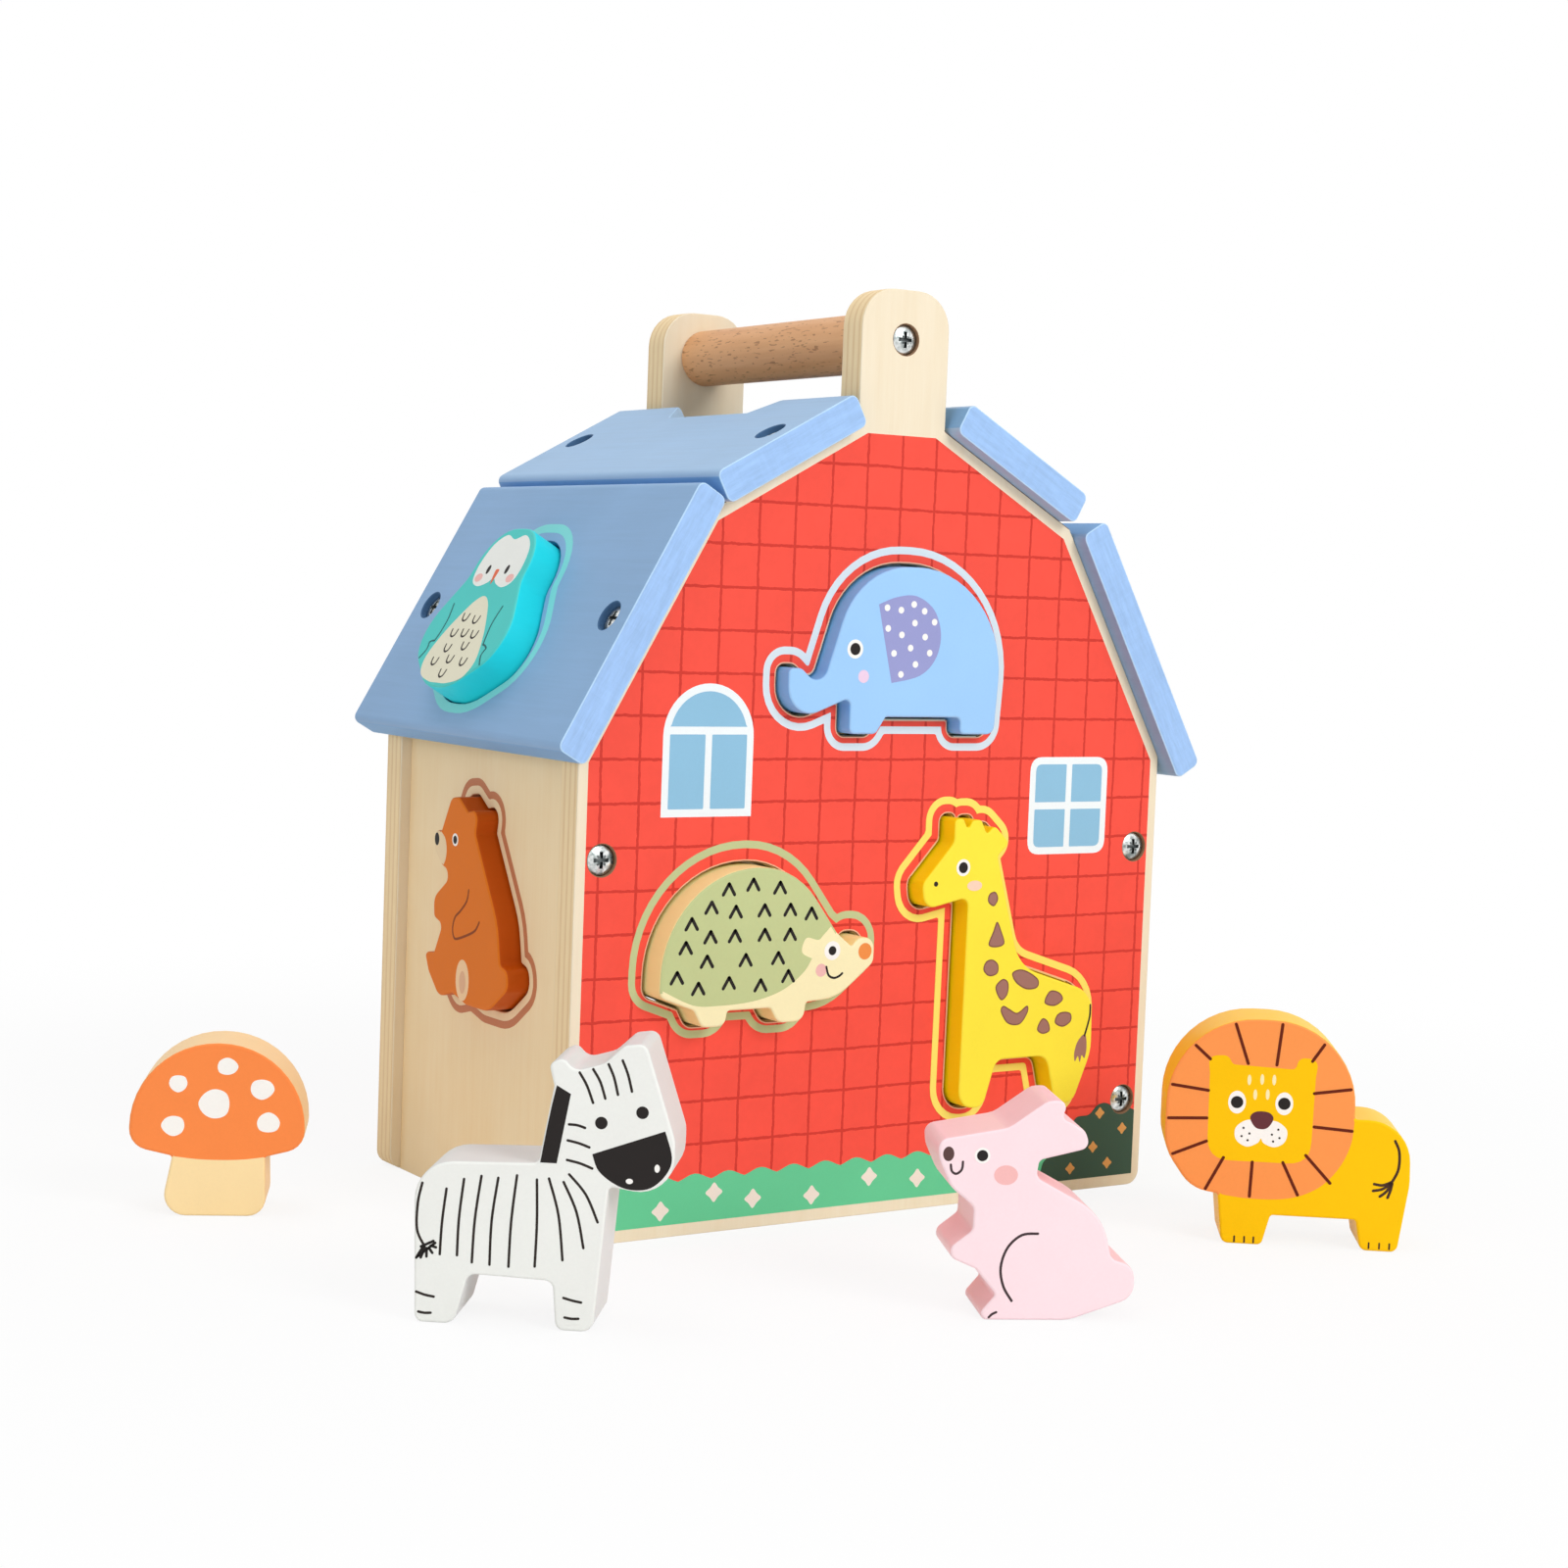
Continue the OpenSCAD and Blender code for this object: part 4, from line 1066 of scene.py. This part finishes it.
bush = [point(PRINT_SIDE, 21.6), *under_screw[2:], *bush_top[1:], point(PRINT_SIDE, PRINT_FOOT)]
front.ink(bush_ink, [bush], layer=3)
sparks = [(68.5, 6.5), (76.5, 12), (82, 7), (78.5, 21.6), (87, 16.6)]
front.ink(spark_ink, [diamond(u, v, size=3.4) for u, v in sparks], layer=4)
ring(front, ink("ring_giraffe", "#FDE972"), moved(giraffe.outline, (-0.5, 0.4)), layer=5)
front.done("birch_ply")

# %% [markdown]
# ## The back gable
#
# The photograph doesn't show the back. It gets the same print with two windows and grass, and rings
# round its two holes, which are the lion's and the zebra's. Their outlines come from the blocks and
# are set where the CAD model cuts the holes. As seen from behind, u runs to the left of the front.

# %% The back gable
LION_HOLE, ZEBRA_HOLE = (7, 110), (-8, 26)
NOTCH_SIDE, NOTCH_TOP = 87.0, 10.3


class BackPiece(Piece):
    """A piece that is printed on the side that looks to the back or to the right."""

    def __init__(self, node, edge_mm, body_finish, outward):
        super().__init__(node, edge_mm, body_finish)
        self.look_along(Vector(outward).normalized())
        self.level = max(v.co.dot(self.normal) for v in self.bm.verts)


back = printed_gable(BackPiece("back_gable", BOARD_EDGE, gable_edge, outward=(0, 1, 0)))
ring(back, ink("ring_lion", "#FBD26A"), moved(lion.outline, LION_HOLE))
ring(back, ink("ring_zebra", "#EDEDEA"), moved(zebra.outline, ZEBRA_HOLE))
for left, right in ((-75.5, -48), (48, 75.5)):
    square_window(back, left, right, foot=84, head=111)
grass(back, [(-PRINT_SIDE, PRINT_FOOT), (-NOTCH_SIDE, PRINT_FOOT), (-NOTCH_SIDE, NOTCH_TOP),
             (NOTCH_SIDE, NOTCH_TOP), (NOTCH_SIDE, PRINT_FOOT), (PRINT_SIDE, PRINT_FOOT)])
back.done("birch_ply")

# %% [markdown]
# ## The side walls and the floor
#
# These boards are left bare. A board's two wide faces are veneer and all its other faces are sawn
# edges, so one test of the face's direction tells the two woods apart, and no face is picked by hand.

# %% The side walls and the floor
RABBIT_HOLE = (-3, 46)


def bare_board(board, veneer, axis):
    """Gives veneer to the wide faces, which look along this axis."""
    board.finish_faces(veneer, lambda f: abs(f.normal[axis]) > 0.999)
    return board


left_wall = bare_board(Piece("left_wall", BOARD_EDGE, wall_edge), wall_veneer, 0)
ring(left_wall, ink("ring_bear", "#C9825C"), bear.outline)
left_wall.done("birch_ply")

right_wall = bare_board(BackPiece("right_wall", BOARD_EDGE, wall_edge, outward=(1, 0, 0)), wall_veneer, 0)
ring(right_wall, ink("ring_rabbit", "#F2BFC6"), moved(rabbit.outline, RABBIT_HOLE))
right_wall.done("birch_ply")

bare_board(Piece("floor_panel", edge_mm=0.4, body_finish=floor_edge), level_veneer, 2).done("birch_ply")

# %% [markdown]
# ## The roof
#
# Four painted boards. Their long edges are already round in the CAD model, and the bevel takes off
# the ends and the notches. Sawn ends drink more paint than the face, so they have a paint of their own.
# The rims are rubbed pale, and that pale paint also stands in for a highlight along the rounded edge.
# The long edges and the screw holes get a darker blue as painted shade, and the upper boards a lighter
# blue than the lower ones as painted light. Each paint is picked by the way its faces look. The owl's
# ring lies on the left lower board and the mushroom's on the right one, both drawn in the frame of the
# slope.

# %% Roof boards
def fall_of(node):
    """The angle at which a roof board falls to the right, from its largest upward face."""
    mesh = frame["nodes"][node].data
    top = max((p for p in mesh.polygons if p.normal.z > 0.1), key=lambda p: p.area)
    return math.atan2(top.normal.x, top.normal.z)


# The upper boards' lighter blue and the lower boards' darker blue are painted light and shade on one paint.
UPPER_TOP_LIT, LOWER_TOP_SHADED = "#A0C0E1", "#8EB1D7"
# The long edges' blue is deeper as painted shade; the rubbed rims' pale blue is wear and also a painted
# highlight along the rounded edge.
ROOF_END, ROOF_RUBBED_HIGHLIGHT, ROOF_LONG_EDGE_SHADE = "#A0C4F2", "#BBDCFA", "#7CAAD8"
ROOF_EDGE = 0.35
ROOF_BREAK, MUSHROOM_HOLE = (58, 0, 186), (0, -61)
# Dark blue on the walls of the roof's screw holes: painted shade inside the holes.
roof_bore = ink("roof_bore", "#45688F")


def upward_of(node):
    """The way a roof board's outer face looks."""
    fall = fall_of(node)
    return Vector((math.sin(fall), 0, math.cos(fall)))


def top_paint(node):
    """The upper boards lie flatter and catch more light, so they get a lighter paint than the lower ones:
    painted light.
    """
    return roof_paint("top_" + node, fall_of(node), UPPER_TOP_LIT if "upper" in node else LOWER_TOP_SHADED, 0.1)


def painted_ends(piece):
    """Gives a roof board its own paint on the sawn ends, painted shade on the screw holes and long edges, and
    a pale paint on the rubbed rims that is also a painted highlight.
    """
    fall, upward = fall_of(piece.node), upward_of(piece.node)
    piece.finish_faces(roof_bore, in_bore)
    for name, colour, layered, wanted in (
            ("end_", ROOF_END, 0.5, lambda f: abs(f.normal.y) > 0.99),
            ("rubbed_highlight_", ROOF_RUBBED_HIGHLIGHT, 0.2, lambda f: abs(f.normal.y) > 0.3),
            ("edge_", ROOF_LONG_EDGE_SHADE, 0.2, lambda f: abs(f.normal.dot(upward)) < 0.3)):
        piece.finish_faces(roof_paint(name + piece.node, fall, colour, layered), wanted)
    return piece


for node in ("left_upper_roof", "right_upper_roof"):
    painted_ends(Piece(node, ROOF_EDGE, top_paint(node))).done("roof_paint")

left_lower = painted_ends(Piece("left_lower_roof", ROOF_EDGE, top_paint("left_lower_roof")))
left_lower.shift = owl.shift
ring(left_lower, ink("ring_owl", "#8CDFDE"), moved(owl.outline, (0, 1.5)), near=2.0, far=4.7)
left_lower.done("roof_paint")

right_lower = painted_ends(BackPiece(
    "right_lower_roof", ROOF_EDGE, top_paint("right_lower_roof"), upward_of("right_lower_roof")))
right_lower.shift = -right_lower.flat(Vector(ROOF_BREAK) * MM)
ring(right_lower, ink("ring_mushroom", "#F3B58A"), moved(mushroom.outline, MUSHROOM_HOLE))
right_lower.done("roof_paint")

# %% [markdown]
# ## The handle
#
# A plain turned rod between the two ears. The CAD model has its length and thickness, so it only needs
# its wood and a softened rim at each end.

# %% Handle rod
Piece("handle_rod", edge_mm=0.4, body_finish=beech).done("beech")

# %% [markdown]
# ## Zinc screws
#
# The screws are small, bright and slightly crystalline. The cross recess gets a darker zinc, which is
# painted shade inside it. Crystals are noise that is stretched until it nearly splits into light and
# dark. The recess is found by its shape, like the walls of the screw holes above.

# %% Five groups of screws
def zinc_plate(name, pale, deep, roughness):
    """Plated steel, mottled from pale to deep."""
    finish = Finish(name, roughness=roughness, shine=0.5, metallic=1.0)
    cloudy = finish.noise((0.6, 0.6, 0.6), detail=3.0)
    crystals = ((cloudy - 0.5) * 3 + 0.5).most(0.0).least(1.0)
    finish.feed("Base Color", finish.mix(crystals, hue(pale), hue(deep)))
    finish.feed("Roughness", roughness - 0.1 + crystals * 0.2)
    return finish.material


zinc = zinc_plate("zinc_plate", "#F6F8F6", "#848E8D", 0.32)
# A darker zinc in the cross recess: painted shade inside it.
recess = zinc_plate("zinc_recess", "#7A8080", "#4E5354", 0.5)
for node in (name for name in frame["nodes"] if name.endswith("_screws")):
    screws = Piece(node, edge_mm=0.05, body_finish=zinc, segments=2)
    print(screws.finish_faces(recess, in_bore), "recess faces")
    screws.done("zinc_steel")

# %% [markdown]
# ## The blocks, finished
#
# The rings above were drawn from the blocks' outlines, so the blocks stayed open until now. Turning
# them into objects is the last step for each: its mesh is written once, with all its ink in it.

# %% The blocks become objects
for name, piece in blocks.items():
    piece.done(name + "_paint")

# %% [markdown]
# ## Floor, light and camera
#
# The toy stands on a white sweep under soft light. One large lamp stands in front and to the right,
# so the front of the barn is the brightest face and the left wall falls into a light shade, and weaker
# lamps fill in from above and from both sides. The white around the toy comes from the floor's and the
# world's own colour for the rays that show them, so it adds no light to the toy's matt surfaces, and
# the screws mirror white.

# %% Stage
scene = bpy.context.scene
scene.view_settings.view_transform = "Standard"
WHITE = (1, 1, 1, 1)


def shows_white(wiring):
    """Is 1 for rays that show the background: from the camera, off metal or through something clear."""
    camera_ray, mirrored, passed = (
        wiring.node("ShaderNodeLightPath", output=kind)
        for kind in ("Is Camera Ray", "Is Glossy Ray", "Is Transmission Ray"))
    return camera_ray.most(mirrored).most(passed)


world = bpy.data.worlds.new("studio")
scene.world = world
sky = Wiring(world)
sky.tree.nodes.clear()
ambient = sky.node("ShaderNodeBackground", None, {"Color": WHITE, "Strength": 0.47})
white = sky.node("ShaderNodeBackground", None, {"Color": WHITE, "Strength": 1.0})
mixed = sky.node("ShaderNodeMixShader", None, {0: shows_white(sky), 1: ambient, 2: white})
sky.node("ShaderNodeOutputWorld", None, {0: mixed})

sweep = bpy.data.meshes.new("sweep")
bm = bmesh.new()
bmesh.ops.create_grid(bm, x_segments=2, y_segments=2, size=4.0)
bm.to_mesh(sweep)
bm.free()
ground = bpy.data.objects.new("sweep", sweep)
scene.collection.objects.link(ground)
ground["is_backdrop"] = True

paper = bpy.data.materials.new("paper")
sweep.materials.append(paper)
sheet = Wiring(paper)
sheet.tree.nodes.clear()
matte = sheet.node("ShaderNodeBsdfDiffuse", None, {"Color": (0.9, 0.9, 0.9, 1)})
glow = sheet.node("ShaderNodeEmission", None, {"Strength": 1.0})
spot = sheet.node("ShaderNodeTexCoord", output="Object")
reach = sheet.node("ShaderNodeVectorMath", {"operation": "LENGTH"}, {0: spot}, output="Value")
SHADOW_REACH, WHITE_REACH, SHADOW_SHARE = 0.15, 0.5, 0.86
fade = sheet.node("ShaderNodeMapRange", {"interpolation_type": "SMOOTHSTEP"}, {
    "Value": reach, "From Min": SHADOW_REACH, "From Max": WHITE_REACH, "To Min": SHADOW_SHARE, "To Max": 1.0})
lit = sheet.node("ShaderNodeMixShader", None, {0: shows_white(sheet) * fade, 1: matte, 2: glow})
sheet.node("ShaderNodeOutputMaterial", None, {0: lit})


BARN_MIDDLE = Vector((0, 0, 0.11))


def lamp(name, place, size, watts):
    """A round soft lamp that looks at the middle of the barn."""
    light = bpy.data.lights.new(name, "AREA")
    light.shape = "DISK"
    light.size = size
    light.energy = watts
    holder = bpy.data.objects.new(name, light)
    holder.location = place
    holder.rotation_mode = "QUATERNION"
    holder.rotation_quaternion = (BARN_MIDDLE - Vector(place)).to_track_quat("-Z", "Y")
    scene.collection.objects.link(holder)


lamp("key", (0.3, -1.5, 1.0), size=0.8, watts=12.9)
lamp("top", (-0.3, 0.2, 1.7), size=1.2, watts=7.4)
lamp("left", (-1.5, -0.5, 0.8), size=1.0, watts=3.2)
lamp("right", (1.5, 0.2, 0.7), size=1.0, watts=2.0)
print("lamps:", ", ".join(light.name for light in bpy.data.lights))

# %% [markdown]
# ## Camera
#
# The camera looks at the barn's left front corner from a little above its middle. It is set by where
# it stands and by three angles, which is easier to fit to a photograph than a point to look at.

# %% Camera
camera_spot = Vector((-420.4, -641.7, 166.6)) * MM
turn, tilt, roll = (math.radians(a) for a in (-33.43, 4.1, 2.18))
back_way = Vector((math.sin(turn) * math.cos(tilt), -math.cos(turn) * math.cos(tilt), math.sin(tilt)))
camera = bpy.data.objects.new("camera", bpy.data.cameras.new("camera"))
camera.data.sensor_width = 36.0
camera.data.lens = 62.46
camera.location = camera_spot
camera.rotation_mode = "QUATERNION"
camera.rotation_quaternion = (-back_way).to_track_quat("-Z", "Y") @ Quaternion((0, 0, 1), roll)
scene.collection.objects.link(camera)
scene.camera = camera
print("camera at", [round(c, 3) for c in camera.location])

# %% [markdown]
#
# Softened edges take a little off the CAD model and ink adds a little. The boxes round both are written
# down side by side, so that a piece that has grown or moved shows up as a difference.

# %% Compare the boxes and finish
seen_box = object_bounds()
growth = (seen_box[1] - seen_box[0]) - (cad_box[1] - cad_box[0])
print("growth, mm:", [round(side / MM, 2) for side in growth])
